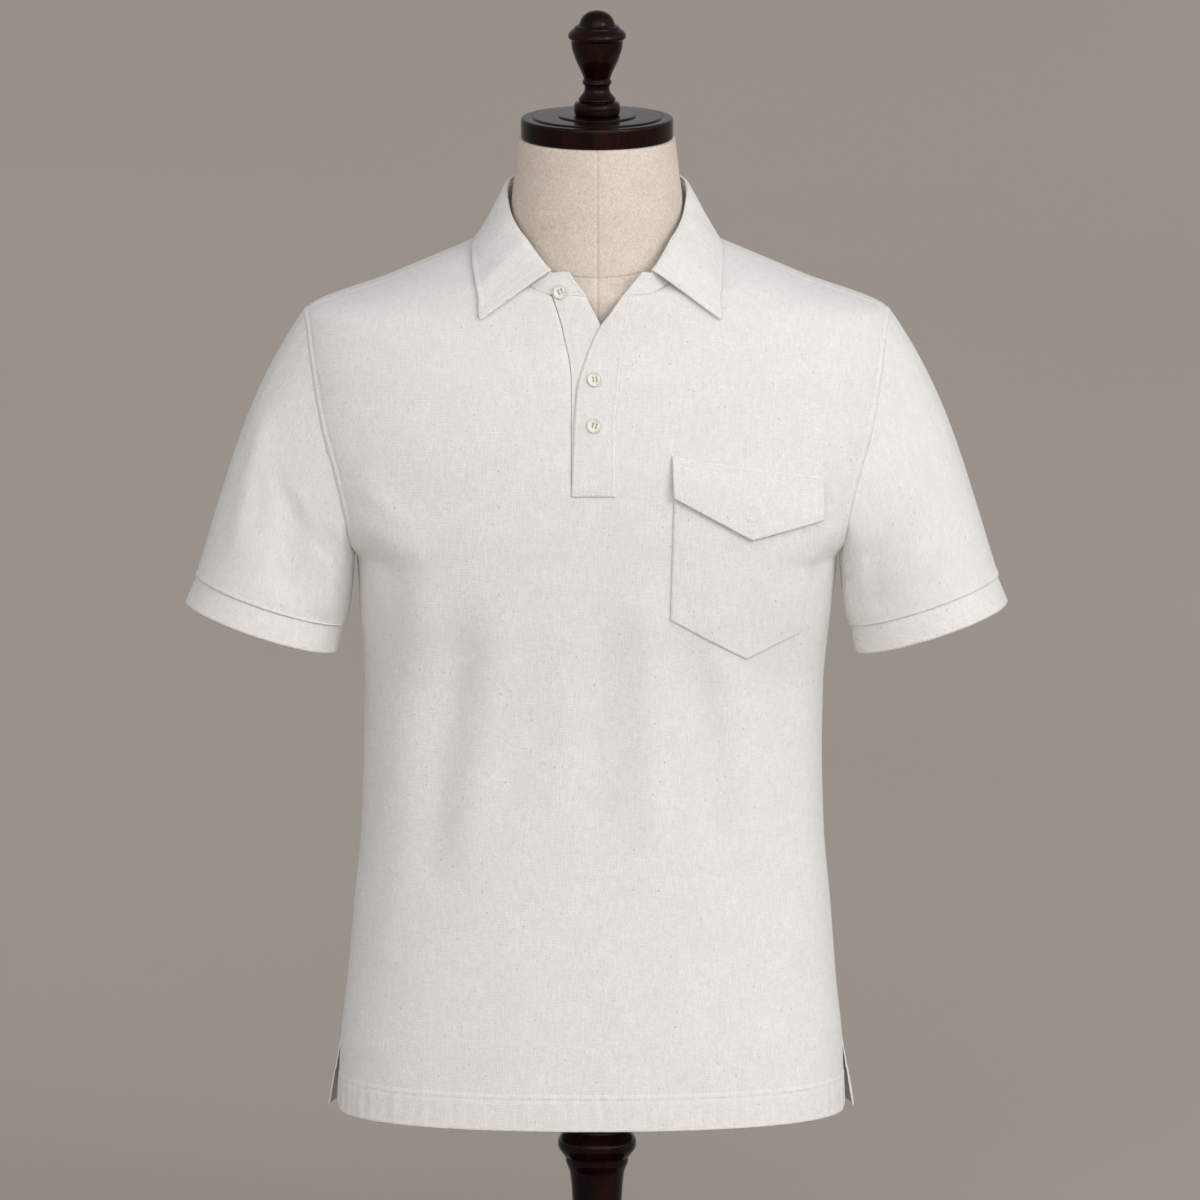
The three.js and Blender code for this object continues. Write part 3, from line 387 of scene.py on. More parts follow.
def near(points, path):
    """Distance from each point to the nearest point of a path, as far as it matters."""
    tree = tree_of(path)
    found = np.full(len(points), SEAM_REACH * 2)
    low, high = path.min(0) - SEAM_REACH, path.max(0) + SEAM_REACH
    for i in np.flatnonzero(((points > low) & (points < high)).all(1)):
        found[i] = tree.find(points[i])[2]
    return found


def lengths(p, axis):
    """Length along a grid's or line's points from its start."""
    step = np.linalg.norm(np.diff(p, axis=axis), axis=-1)
    zero = np.zeros_like(np.take(step, [0], axis))
    return np.concatenate([zero, np.cumsum(step, axis)], axis)


def resampled(p, n, pitch):
    """A path's points and normals at even steps."""
    length = lengths(p, 0)
    count = max(2, int(round(length[-1] / pitch)) + 1)
    at = np.linspace(0, length[-1], count)
    put = lambda v: np.stack([np.interp(at, length, v[:, k]) for k in range(3)], 1)
    return put(p), unit(put(n))


def new_object(name, points, faces, material, smooth_faces=True, flat=None):
    """A mesh object from points in millimetres; flat holds a place on the cut cloth for each face corner."""
    mesh = bpy.data.meshes.new(name)
    mesh.from_pydata((np.asarray(points) * MM).tolist(), [], faces)
    mesh.polygons.foreach_set("use_smooth", [smooth_faces] * len(mesh.polygons))
    if flat is not None:
        corner = np.zeros(len(mesh.loops), int)
        mesh.loops.foreach_get("vertex_index", corner)
        values = np.zeros((len(corner), 3), np.float32)
        values[:, :2] = flat * MM
        attribute = mesh.attributes.new("flat", "FLOAT_VECTOR", "CORNER")
        attribute.data.foreach_set("vector", values.ravel())
    mesh.materials.append(material)
    mesh.update()
    obj = bpy.data.objects.new(name, mesh)
    bpy.context.scene.collection.objects.link(obj)
    return obj


def tied(obj, node=None):
    """Ties an object to the frame's body and hides the solid that it stands for."""
    if node:
        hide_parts(node)
    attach(obj, "root")


def grid_cells(rows, columns, start, ring):
    """Four-cornered faces of a grid of points; a ring's last column joins its first."""
    i, j = np.meshgrid(np.arange(rows - 1), np.arange(columns if ring else columns - 1), indexing="ij")
    k = (j + 1) % columns
    low, high = start + i * columns, start + (i + 1) * columns
    return np.stack([low + j, low + k, high + k, high + j], -1).reshape(-1, 4)


def closed_rings(rings, low, high):
    """A closed skin from rings of points, bottom to top, with a middle point at each end."""
    rows, columns = rings.shape[:2]
    count, last = rows * columns, (rows - 1) * columns
    points = np.concatenate([rings.reshape(-1, 3), [(0, 0, low), (0, 0, high)]])
    faces = grid_cells(rows, columns, 0, True).tolist()
    for k in range(columns):
        j = (k + 1) % columns
        faces.append((j, k, count))
        faces.append((last + k, last + j, count + 1))
    return points, faces


class Path:
    """A line on a cloth piece: a sunk seam, a raised one where its depth is negative, or stitching."""

    def __init__(self, p, n, depth, width=0.9, stitched=True):
        self.p, self.n = resampled(p, n, 1.0)
        self.depth, self.width, self.stitched = depth, width, stitched


STITCH_PITCH = 3.0
STITCH_LENGTH = 2.3
STITCH_RADIUS = 0.3
STITCH_SIDES = 5


def stitches(name, paths, thick):
    """Small raised threads along the stitched paths of one piece."""
    points, faces = [], []
    for path in paths:
        if not path.stitched:
            continue
        p, n = resampled(path.p, path.n, STITCH_PITCH / 2)
        for i in range(1, len(p) - 1, 2):
            along = unit(p[i + 1] - p[i - 1])
            up = n[i]
            aside = np.cross(along, up)
            middle = p[i] + up * (thick / 2 - path.depth + 0.5 * STITCH_RADIUS)
            start = len(points)
            points.append(middle - along * STITCH_LENGTH / 2 - up * STITCH_RADIUS)
            for end in (-1, 1):
                for k in range(STITCH_SIDES):
                    turn = 2 * math.pi * k / STITCH_SIDES
                    ring = aside * math.cos(turn) + up * math.sin(turn) * 0.8
                    points.append(middle + along * end * STITCH_LENGTH * 0.3 + ring * STITCH_RADIUS)
            points.append(middle + along * STITCH_LENGTH / 2 - up * STITCH_RADIUS)
            for k in range(STITCH_SIDES):
                a, b = start + 1 + k, start + 1 + (k + 1) % STITCH_SIDES
                faces.append((start, a, b))
                faces.append((a, a + STITCH_SIDES, b + STITCH_SIDES, b))
                faces.append((start + 1 + 2 * STITCH_SIDES, b + STITCH_SIDES, a + STITCH_SIDES))
    obj = new_object(name, points, faces, THREAD)
    tied(obj)
    return obj


# Points of two grids that fall into one step are one point; the shift keeps whole numbers off a step's edge
MERGE_STEPS = 37
MERGE_SHIFT = 0.123
RIM_THICKNESS = 0.75


def joined(grids):
    """Points, normals, places on the cut cloth and cells of several grids that share edges."""
    points, normals, places, cells = [], [], [], []
    start = 0
    for p, n, t in grids:
        rows, columns = p.shape[:2]
        quads = grid_cells(rows, columns, start, False)
        i, j = rows // 2, columns // 2
        if np.dot(np.cross(p[i, j + 1] - p[i, j], p[i + 1, j] - p[i, j]), n[i, j]) < 0:
            quads = quads[:, ::-1]
        cells.append(quads)
        points.append(p.reshape(-1, 3))
        normals.append(n.reshape(-1, 3))
        places.append(t.reshape(-1, 2))
        start += rows * columns
    p, n, t, cells = (np.concatenate(x) for x in (points, normals, places, cells))
    steps = np.round(p * MERGE_STEPS + MERGE_SHIFT).astype(np.int64)
    _, first, place = np.unique(steps, axis=0, return_index=True, return_inverse=True)
    corner_flat = t[cells]
    cells = place.ravel()[cells]
    kept = np.array([len(set(c)) == 4 for c in cells])
    return p[first], n[first], t[first], cells[kept], corner_flat[kept]


def pressed_down(p, rim, down):
    """How far each point sinks where the rim is ironed down, with a low swell just inside it."""
    tree = tree_of(p[rim])
    sunk = np.zeros(len(p))
    for i, c in enumerate(p):
        _, k, far = tree.find(c)
        sunk[i] = down[k] * (math.exp(-((far / 0.9) ** 2)) - 0.5 * math.exp(-(((far - 1.4) / 0.7) ** 2)))
    return sunk


def cloth(name, node, grids, thick, rests_on, paths=(), lift=None, bulge=0.25, flat=None, press=None):
    """Builds a cloth piece as a closed wall from its middle layer's grids, with its seams sunk in.

    lift raises the surface, bulge rounds the rim outward, and press says how far the rim is ironed down.
    """
    p, n, t, cells, corner_flat = joined(grids)
    height = np.zeros(len(p)) if lift is None else lift(p, t)
    for path in paths:
        height = height - path.depth * np.exp(-((near(p, path.p) / path.width) ** 2))
    a, b = cells.ravel(), np.roll(cells, -1, axis=1).ravel()
    count = len(p)
    lone = ~np.isin(b * count + a, a * count + b)
    rim_a, rim_b = a[lone], b[lone]
    rim = np.unique(np.concatenate([rim_a, rim_b]))
    if press is not None:
        height = height - pressed_down(p, rim, press(p[rim], t[rim]))
    p = p + n * height[:, None]
    outward = np.zeros((count, 3))
    push = np.cross(p[rim_b] - p[rim_a], n[rim_a])
    np.add.at(outward, rim_a, push)
    np.add.at(outward, rim_b, push)
    outward = unit(outward)
    half = np.full(count, thick / 2)
    half[rim] *= RIM_THICKNESS
    swell = bulge(p[rim], t[rim]) if callable(bulge) else np.full(len(rim), bulge)
    middle = p[rim] + outward[rim] * (swell * thick)[:, None]
    every = np.concatenate([p + n * half[:, None], p - n * half[:, None], middle])
    number = np.zeros(count, int)
    number[rim] = np.arange(len(rim)) + 2 * count
    rim_top = np.stack([rim_b, rim_a, number[rim_a], number[rim_b]], 1)
    rim_under = np.stack([number[rim_b], number[rim_a], rim_a + count, rim_b + count], 1)
    faces = np.concatenate([cells, cells[:, ::-1] + count, rim_top, rim_under])
    rim_flat = np.stack([t[rim_b], t[rim_a], t[rim_a], t[rim_b]], 1)
    corners = np.concatenate([corner_flat, corner_flat[:, ::-1], rim_flat, rim_flat]).reshape(-1, 2)
    obj = new_object(name, every, faces.tolist(), LINEN, flat=corners)
    tied(obj, node)
    if any(path.stitched for path in paths):
        stitches(name + "_stitching", paths, thick)


def edge_steps(near_steps, width, count):
    """Shares from 0 at one edge to 1, close together near that edge."""
    fine = [d / width for d in near_steps if d < 0.45 * width]
    last = fine[-1]
    rest = count - len(fine)
    return np.concatenate([fine, last + (1 - last) * np.arange(1, rest + 1) / rest])


SEAM_STEPS = [0, 0.7, 1.6, 2.8, 4.0, 4.9, 5.5, 6.1, 7.0, 8.4, 10.4, 13, 16.2, 20]


def grid_normals(p, ring=False):
    """Normals of a grid of points from its neighbours; a ring's last column repeats its first."""
    if ring:
        wide = np.concatenate([p[:, -2:-1], p, p[:, 1:2]], 1)
        across = wide[:, 2:] - wide[:, :-2]
    else:
        across = np.gradient(p, axis=1)
    along = np.gradient(p, axis=0)
    return unit(np.cross(across, along))


def inset_line(p, n, which, distance):
    """A line at a distance inside one edge of a grid, kept as far from the other edges."""
    turned = {"first_row": (p, n), "last_row": (p[::-1], n[::-1]),
              "first_column": (p.swapaxes(0, 1), n.swapaxes(0, 1)),
              "last_column": (p.swapaxes(0, 1)[::-1], n.swapaxes(0, 1)[::-1])}
    q, m = turned[which]
    edges = {"first_row": p[0], "last_row": p[-1], "first_column": p[:, 0], "last_column": p[:, -1]}
    trees = {name: tree_of(resampled(line, line, 0.5)[0]) for name, line in edges.items()}
    line, up = [], []
    for j in range(q.shape[1]):
        before = 0.0
        for i in range(1, q.shape[0]):
            reached = trees[which].find(q[i, j])[2]
            if reached >= distance:
                share = (distance - before) / max(reached - before, 1e-9)
                line.append(mix(q[i - 1, j], q[i, j], share))
                up.append(mix(m[i - 1, j], m[i, j], share))
                break
            before = reached
    kept = [i for i, c in enumerate(line) if all(
        trees[name].find(c)[2] > distance - 0.2 for name in trees if name != which)]
    return np.array(line)[kept], unit(np.array(up)[kept])


def seams(p, n, rows):
    """Seams inside a grid's edges, from rows of edge, distance, depth, width and whether it is stitched."""
    return [Path(*inset_line(p, n, which, distance), depth, width, stitched)
            for which, distance, depth, width, stitched in rows]


# Front and back
def vent_share(z):
    """From 0 at the vent's top to 1 at the hem."""
    return np.clip((VENT_TOP - z) / (VENT_TOP - HEM), 0, 1)


def front_place(angle, z):
    """The front's surface, whose hem corner is rounded next to the vent."""
    side = smooth(80 * DEG, 90 * DEG, np.abs(angle))
    return shirt(angle, z + HEM_CORNER * side * vent_share(z) ** 6)


def back_place(angle, z):
    """The back's surface, which flares out beside the vent."""
    p, n = shirt(angle, z)
    beside = 1 - smooth(0, 45 * DEG, np.abs(np.abs(angle) - math.pi / 2))
    p[..., 0] += np.sign(angle) * VENT_FLARE * vent_share(z) * beside
    return p, n


def slot_edge(side, z):
    lowest = np.maximum(z, SLOT_BOTTOM)
    return -under_seam(lowest) if side < 0 else upper_seam(lowest) - SLOT_INSET


def slot_angle(side, z):
    return side * angle_at_x(side * slot_edge(side, z), z)


ARMHOLE_ROWS = 14
SLOT_ROW = 2
NECK_ROW = 7
HEM_STEPS = [0, 0.7, 1.7, 3.2, 5.2, 8, 11.5, 15.5, 19, 21.5, 23, 24, 25, 26.3, 27.6, 28.6, 29.6, 31, 33.5, 37]


def body_rows(count):
    """Heights from the hem to the armpit, close together at the hem's stitching and the vent's top."""
    rows = [HEM + s for s in HEM_STEPS]
    return np.concatenate([rows, np.linspace(rows[-1], ARMPIT, count)[1:]])


def armhole_rows(count):
    """Rows of the panel's upper part, close together at the shoulder seam."""
    low = np.linspace(0, SLOT_ROW, count // 6)
    middle = np.linspace(SLOT_ROW, NECK_ROW, count // 3)[1:]
    high = np.linspace(NECK_ROW, ARMHOLE_ROWS - 0.75, count // 2)[1:]
    end = ARMHOLE_ROWS - np.array([0.5, 0.32, 0.2, 0.12, 0.06, 0.025, 0])
    return np.concatenate([low, middle, high, end])


def panel_edges(side, low_rows, high_rows, behind):
    """Angles and heights of a panel's inner and outer edge, row by row."""
    seam = GAP / 2 if behind else -GAP / 2
    turn = mix(1.0 if behind else 0.0, TIP_TURN, high_rows / ARMHOLE_ROWS)
    angle, z = armhole(turn)
    at_side = [angle_at_y(seam, h) for h in z]
    angle = np.maximum(angle, at_side) if behind else np.minimum(angle, at_side)
    angle[-1] = angle_at_y(-SEAM_FORWARD + seam, z[-1])
    outer = np.concatenate([[angle_at_y(seam, h) for h in low_rows], angle])
    if behind:
        inner = lambda h: np.full(len(h), math.pi)
        level = np.interp(high_rows, [0, NECK_ROW], [ARMPIT, neck_z(math.pi)])
        neck_start = math.pi
    else:
        inner = lambda h: slot_angle(side, h)
        level = np.interp(high_rows, [0, SLOT_ROW, NECK_ROW], [ARMPIT, SLOT_BOTTOM, NECK_FRONT])
        neck_start = slot_angle(side, np.array(NECK_FRONT))
    on_neck = high_rows > NECK_ROW
    neck = mix(neck_start, NECK_SEAM, np.clip((high_rows - NECK_ROW) / (ARMHOLE_ROWS - NECK_ROW), 0, 1))
    top_angle = np.where(on_neck, neck, inner(level))
    top_z = np.where(on_neck, neck_z(neck), level)
    top_angle[-1] = angle_at_y(-SEAM_FORWARD + seam, top_z[-1])
    return (np.concatenate([inner(low_rows), top_angle]), np.concatenate([low_rows, top_z]),
            outer, np.concatenate([low_rows, z]))


def half_panel(side, behind):
    """Half a panel's grid and its seams; columns and rows lie close together where its seams are."""
    low, high = body_rows(LOW_ROWS), armhole_rows(HIGH_ROWS)[1:]
    angles, heights = [], []
    for a, az, b, bz in zip(*panel_edges(side, low, high, behind)):
        pa, pb = plain_body(np.array([side * a, side * b]), np.array([az, bz]))
        width = max(60.0, np.linalg.norm(pa - pb) * 1.15)
        share = 1 - edge_steps(SEAM_STEPS, width, PANEL_COLUMNS)[::-1]
        angles.append(side * mix(a, b, share))
        heights.append(mix(az, bz, share))
    angles, heights = np.array(angles), np.array(heights)
    count, vent = len(low), np.searchsorted(low, VENT_TOP)
    low_p, low_n = (back_place if behind else front_place)(angles[:count], heights[:count])
    high_p, high_n = shirt(angles[count:], heights[count:])
    p, n = np.concatenate([low_p, high_p]), np.concatenate([low_n, high_n])
    paths = seams(p[count - 2:], n[count - 2:], [
        ("last_column", 5.5, 0.6, 1.1, True),
        ("last_column", 2.9, -0.4, 1.7, False),
    ])
    paths += seams(p[:vent + 2], n[:vent + 2], [("last_column", 5.5, 0.3, 1.0, True)])
    if not behind:
        paths += seams(p[count + 30:], n[count + 30:], [("last_row", 4.5, 0.3, 1.0, False)])
    return (p, n, (flat_back if behind else flat_front)(angles, heights)), paths


# Rows along the hem: height above it, depth and whether it is stitched
HEM_SEAMS = [(24.0, 0.45, True), (28.6, 0.3, False)]
HEM_SEAM_POINTS = 400


def hem_seams(place, angles):
    return [Path(*place(angles, np.full(HEM_SEAM_POINTS, HEM + above)), depth, stitched=stitched)
            for above, depth, stitched in HEM_SEAMS]


def hem_lift(p, t):
    """The turned-up hem stands out a little, and its stitching and the side seams pull small puckers."""
    z = p[:, 2]
    band = (1 - smooth(HEM + 27.5, HEM + 29.5, z)) * 0.45
    wave = np.sin(t[:, 0] * 0.47 + 1.7 * np.sin(t[:, 0] * 0.061)) * np.sin(t[:, 0] * 0.113 + 0.8)
    pucker = 0.55 * wave * np.exp(-(((z - HEM - 14) / 15) ** 2))
    return band + pucker


def free_below(p, t):
    """Fuller edges at the hem and vents, thin ones where a seam meets."""
    return np.where(p[:, 2] < VENT_TOP - 1, 0.42, 0.12)


# The cut of what shows, across and from the hem to the neck point along the cloth
FRONT_CUT = (514.0, 736.0)
BACK_CUT = (558.5, 763.0)


def front_panel():
    grids, paths = [], []
    for side in (-1, 1):
        grid, lines = half_panel(side, False)
        grids.append(grid)
        paths += lines
    slot_rows = armhole_rows(HIGH_ROWS)[1:]
    slot_rows = slot_rows[slot_rows <= SLOT_ROW + 1e-9]
    middle_z = np.concatenate([body_rows(LOW_ROWS), mix(ARMPIT, SLOT_BOTTOM, slot_rows / SLOT_ROW)])
    share = np.linspace(0, 1, 15)
    from_angle, to_angle = -slot_angle(-1, middle_z), slot_angle(1, middle_z)
    angles = mix(from_angle[:, None], to_angle[:, None], share)
    heights = np.repeat(middle_z[:, None], len(share), 1)
    grids.append((*front_place(angles, heights), flat_front(angles, heights)))
    end = angle_at_y(-3.0, 214.0)
    paths += hem_seams(front_place, np.linspace(-end, end, HEM_SEAM_POINTS))
    cloth("front_cloth", "front", grids, CLOTH, ["form_torso", "placket_under"], paths, lift=hem_lift,
          bulge=free_below, flat=FRONT_CUT)


def back_panel():
    grids, paths = [], []
    for side in (-1, 1):
        grid, lines = half_panel(side, True)
        grids.append(grid)
        paths += lines
    start = angle_at_y(3.0, 214.0)
    line = np.linspace(start, 2 * math.pi - start, HEM_SEAM_POINTS)
    line = np.where(line > math.pi, line - 2 * math.pi, line)
    paths += hem_seams(back_place, line)
    cloth("back_cloth", "back", grids, CLOTH, ["form_torso"], paths, lift=hem_lift,
          bulge=free_below, flat=BACK_CUT)


# Sleeves and cuffs
# Folds and creases: side, from and to as shares of the turn and the length, width, height
SLEEVE_FOLDS = [
    (-1, 0.25, 0.3, 0.23, 0.95, 17, -3.2),
    (-1, 0.37, 0.25, 0.35, 0.9, 16, 1.8),
    (-1, 0.13, 0.35, 0.13, 0.98, 15, 2.4),
    (-1, 0.68, 0.3, 0.72, 0.95, 17, -2.6),
    (-1, 0.8, 0.25, 0.84, 0.9, 16, 2),
    (1, 0.17, 0.3, 0.15, 0.95, 15, -2.6),
    (1, 0.29, 0.25, 0.27, 0.9, 18, 1.8),
    (1, 0.07, 0.4, 0.06, 0.98, 13, 1.8),
    (1, 0.7, 0.3, 0.66, 0.95, 17, -2.8),
    (1, 0.82, 0.3, 0.78, 0.92, 16, 2.2),
]
SLEEVE_CREASES = [
    (-1, 0.12, 0.12, 0.2, 0.5, 7, -0.8),
    (-1, 0.08, 0.1, 0.12, 0.42, 6, 0.8),
    (-1, 0.3, 0.4, 0.28, 0.85, 9, 0.7),
    (1, 0.1, 0.12, 0.17, 0.5, 7, -0.8),
    (1, 0.06, 0.15, 0.1, 0.5, 6, 0.7),
    (1, 0.34, 0.35, 0.33, 0.8, 9, -0.6),
    (-1, 0.9, 0.15, 0.84, 0.5, 7, 0.8),
    (1, 0.9, 0.15, 0.85, 0.55, 7, -0.8),
]
SLEEVE_TURN = 420.0
SLEEVE_LENGTH = 215.0
SLEEVE_SPREAD = 1.35
SLEEVE_HEAD = 0.62
SLEEVE_LIFT = 0.25
SLEEVE_TUCK = 0.2
SLEEVE_HOLD_LOW = 1.0
SLEEVE_HOLD_HIGH = 1.05
ARM_AXIS = np.array([math.sin(ARM_LEAN), 0, -math.cos(ARM_LEAN)])


def cuff_ring(turn, past, wider=0.0):
    """Points round the sleeve's end, past it along the arm and wider than the seam."""
    angle, past, wider = np.broadcast_arrays(2 * np.pi * np.asarray(turn), past, wider)
    inward = np.array([-math.cos(ARM_LEAN), 0, -math.sin(ARM_LEAN)])
    across = (CUFF_HALF_WIDTH + wider) * np.cos(angle)
    p = CUFF_SEAM + ARM_AXIS * past[..., None] + inward * across[..., None]
    p[..., 1] -= (CUFF_HALF_DEPTH + wider) * np.sin(angle)
    return p


def armhole_frame(turn):
    """Points round the armhole, the surface's normals there, and the way across its edge."""
    at = lambda t: plain_body(*armhole((t + 1) % 1))
    angle, z = armhole(turn)
    p = plain_body(angle, z)
    n = normal_of(plain_body, angle, z)
    tangent = at(turn + TURN_STEP) - at(turn - TURN_STEP)
    across = unit(np.cross(tangent, n))
    middle = plain_body(np.array(math.pi / 2), np.array((ARMPIT + SHOULDER_TIP) / 2))
    across[np.sum(across * (middle - p), -1) < 0] *= -1
    return p, n, across


def seam_start(p, n, across, direction, half):
    """Where a piece's middle layer starts, clear of the edge that it is sewn to."""
    ahead = np.sum(direction * across, -1)
    away = np.sum(direction * n, -1)
    cosine = ahead / np.hypot(ahead, away)
    sine = np.sqrt(np.maximum(0, 1 - cosine ** 2))
    return (p + across * (GAP + half * sine)[..., None]
            + n * (np.maximum(0, -cosine) * (2 * GAP + half + CLOTH / 2))[..., None])


def sleeve_plain(turn, share):
    """The sleeve's plain surface on a grid of turns (columns) and shares of its length (rows)."""
    edge, n, across = armhole_frame(turn)
    high = (1 - np.cos(2 * np.pi * turn)) / 2
    at_side = np.sin(2 * np.pi * turn) ** 2
    leave = ARM_AXIS + across * (SLEEVE_SPREAD * high)[:, None] + n * (SLEEVE_LIFT * at_side)[:, None]
    leave[:, 0] += SLEEVE_HEAD * high ** 2 - SLEEVE_TUCK * (1 - high) ** 4
    leave = unit(leave)
    start = seam_start(edge, n, across, leave, CLOTH / 2)
    end = cuff_ring(turn, 0.0)
    chord = np.linalg.norm(start - end, axis=-1, keepdims=True)
    hold = mix(SLEEVE_HOLD_LOW, SLEEVE_HOLD_HIGH, high)[:, None] * chord
    s = share[:, None, None]
    return (start * (2 * s ** 3 - 3 * s ** 2 + 1) + leave * hold * (s ** 3 - 2 * s ** 2 + s)
            + end * (3 * s ** 2 - 2 * s ** 3) + ARM_AXIS * chord * (s ** 3 - s ** 2))


def facing_out(n, p, row):
    """Normals turned away from the middle of a ring."""
    away = p[row, 0] - p[row, :-1].mean(0)
    return -n if np.sum(n[row, 0] * away) < 0 else n


def ring_cloth(name, side, p, n, t, thick, rests_on, bulge):
    """A tube of cloth, closed on itself, on the wearer's left or mirrored to the right."""
    p[:, -1] = p[:, 0]
    mirror = np.array([side, 1, 1])
    cloth(name + "_cloth", name, [(p * mirror, n * mirror, t)], thick, rests_on, bulge=bulge)


def sleeve_cloth(side):
    turn = np.linspace(0, 1, SLEEVE_COLUMNS + 1)
    share = np.concatenate([[0, 0.004, 0.009, 0.016, 0.024], np.linspace(0.035, 0.965, SLEEVE_ROWS),
                            [0.974, 0.98, 0.985, 0.99, 0.995, 1]])
    v, u = np.meshgrid(share * SLEEVE_LENGTH, turn * SLEEVE_TURN, indexing="ij")
    turn[-1] = 0.0
    p = sleeve_plain(turn, share)
    n = facing_out(grid_normals(p, ring=True), p, len(share) // 2)
    height = 0.5 * np.exp(-(((SLEEVE_LENGTH - v - 1.6) / 1.5) ** 2))
    height += 0.14 * np.sin(u * 0.42 + 2 * np.sin(u * 0.05)) * np.exp(-(((SLEEVE_LENGTH - v) / 9) ** 2))
    height += 0.3 * np.sin(u * 0.36 + 1.2 * np.sin(u * 0.07)) * np.exp(-((v / 11) ** 2))
    around, along = SLEEVE_TURN, SLEEVE_LENGTH
    for face, u0, v0, u1, v1, width, rise in SLEEVE_FOLDS + SLEEVE_CREASES:
        if face == side:
            row = (face, u0 * around, v0 * along, u1 * around, v1 * along, width, rise)
            height += line_fold(row, u, v)
    p = p + n * height[..., None]
    p[:, -1] = p[:, 0]
    length = lengths(p, 0)
    t = np.stack([side * (u - SLEEVE_TURN / 2), length[-1].mean() - length], -1)
    name = "sleeve_left" if side > 0 else "sleeve_right"
    ring_cloth(name, side, p, n, t, CLOTH, ["front", "back"], 0.15)


def cuff_cloth(side):
    around = np.linspace(0, 1, CUFF_COLUMNS + 1)
    turn = around.copy()
    turn[-1] = 0.0
    past = np.concatenate([[GAP, 0.9, 1.7], np.linspace(2.6, CUFF_HEIGHT - 2.4, 17),
                           CUFF_HEIGHT - np.array([1.5, 0.7, 0])])[:, None]
    wider = CUFF_FLARE * past / CUFF_HEIGHT - (CUFF + CLOTH) / 2
    p = cuff_ring(turn[None, :], past, wider)
    n = facing_out(grid_normals(p, ring=True), p, 2)
    u = around * 2 * math.pi * CUFF_HALF_WIDTH
    wave = 0.5 * np.sin(u * 0.05 + side) + 0.25 * np.sin(u * 0.19 + 2 * side)
    p = p + n * (wave * smooth(2, CUFF_HEIGHT, past))[..., None]
    t = np.stack(np.broadcast_arrays(side * u, CUFF_HEIGHT - past), -1)
    name, sleeve = ("cuff_left", "sleeve_left") if side > 0 else ("cuff_right", "sleeve_right")
    ring_cloth(name, side, p, n, t, CUFF, [sleeve], 0.42)


# Collar
ROLL = curves("turn right left y z", [
    (0, 19, 30, -81, 865.5),
    (8, 28, 36, -79.5, 865),
    (12, 34, 41, -78, 864),
    (20, 47, 51.5, -62, 875),
    (26, 54.5, 57, -52, 884),
    (33, 60, 61.5, -43, 889.5),
    (46, 66, 66.5, -27, 898),
    (58, 68.2, 68.2, -15, 903.5),
    (90, 69.8, 69.8, 3, 912.5),
    (110, 67.8, 67.8, 24, 917.5),
    (128, 58.5, 58.5, 42, 920.5),
    (146, 42, 42, 57.5, 922.5),
    (180, 0, 0, 72.5, 923.5),
])
FALL = curves("turn right left z lift", [
    (12, 22.8, 24.4, 826, 3.6),
    (20, 29.6, 31, 840, 3.1),
    (26, 36.4, 37.5, 850, 2.9),
    (33, 45.8, 46.4, 860, 2.8),
    (46, 62, 62, 870, 2.8),
    (58, 80, 80, 875, 2.8),
    (90, 100, 100, 876.5, 3),
    (110, 118, 118, 878, 3.5),
    (128, 135, 135, 879.5, 4),
    (146, 152, 152, 880.3, 5),
    (180, 180, 180, 881, 6),
])
STAND_END_RIGHT = -8.6
STAND_END_LEFT = 20.3
FALL_END = 13.0
ROLL_WIDTH = 5.0
ROLL_RISE = 1.4
FALL_BULGE = 2.0
FALL_CLEAR = 2.6


def round_the_neck(end_right, end_left, count):
    """Degrees from the front, and the side, from the wearer's right end round the back to the left one."""
    def half(end):
        fine = end + np.array([0, 0.35, 0.8, 1.4, 2.1, 2.8, 3.4, 4.0, 4.8, 5.8, 7.0])
        return np.concatenate([fine, np.linspace(fine[-1], 180, count)[1:]])

    right, left = half(end_right), half(end_left)
    return (np.concatenate([right, left[::-1][1:]]),
            np.concatenate([-np.ones(len(right)), np.ones(len(left) - 1)]))


def roll_point(turn, side):
    x = np.where(side < 0, -ROLL["right"](turn), ROLL["left"](turn))
    return np.stack([x, ROLL["y"](turn), ROLL["z"](turn)], -1)


def collar_stand_cloth():
    end_right = -angle_at_x(STAND_END_RIGHT, NECK_FRONT) / DEG
    end_left = angle_at_x(STAND_END_LEFT, NECK_FRONT) / DEG
    turn, side = round_the_neck(float(end_right), float(end_left), STAND_COLUMNS)
    angle = side * turn * DEG
    z = neck_z(angle)
    p = plain_body(angle, z)
    n = normal_of(plain_body, angle, z)
    at = lambda d: plain_body(side * d * DEG, neck_z(d * DEG))
    across = unit(np.cross(at(turn + 0.1) - at(turn - 0.1), n))
    across[across[:, 2] < 0] *= -1
    top = roll_point(turn, side)
    bottom = seam_start(p, n, across, unit(top - p), BAND / 2)
    share = np.concatenate([[0, 0.02, 0.05, 0.09], np.linspace(0.14, 0.86, 12), [0.91, 0.95, 0.98, 1]])
    grid = mix(bottom[None], top[None], share[:, None, None])
    normal = grid_normals(grid)
    if np.sum((normal * grid)[10, 5, :2]) < 0:
        normal = -normal
    t = np.stack([lengths(grid, 1), lengths(grid, 0)], -1)
    t[..., 0] -= t[..., -1:, 0] / 2
    paths = seams(grid, normal, [
        ("first_column", 3.2, 0.25, 0.9, False),
        ("last_column", 3.2, 0.25, 0.9, False),
        ("first_row", 2.2, 0.3, 0.9, False),
    ])
    cloth("collar_stand_cloth", "collar_stand", [(grid, normal, t)], BAND, ["front", "back", "form_torso"],
          paths, bulge=0.35)


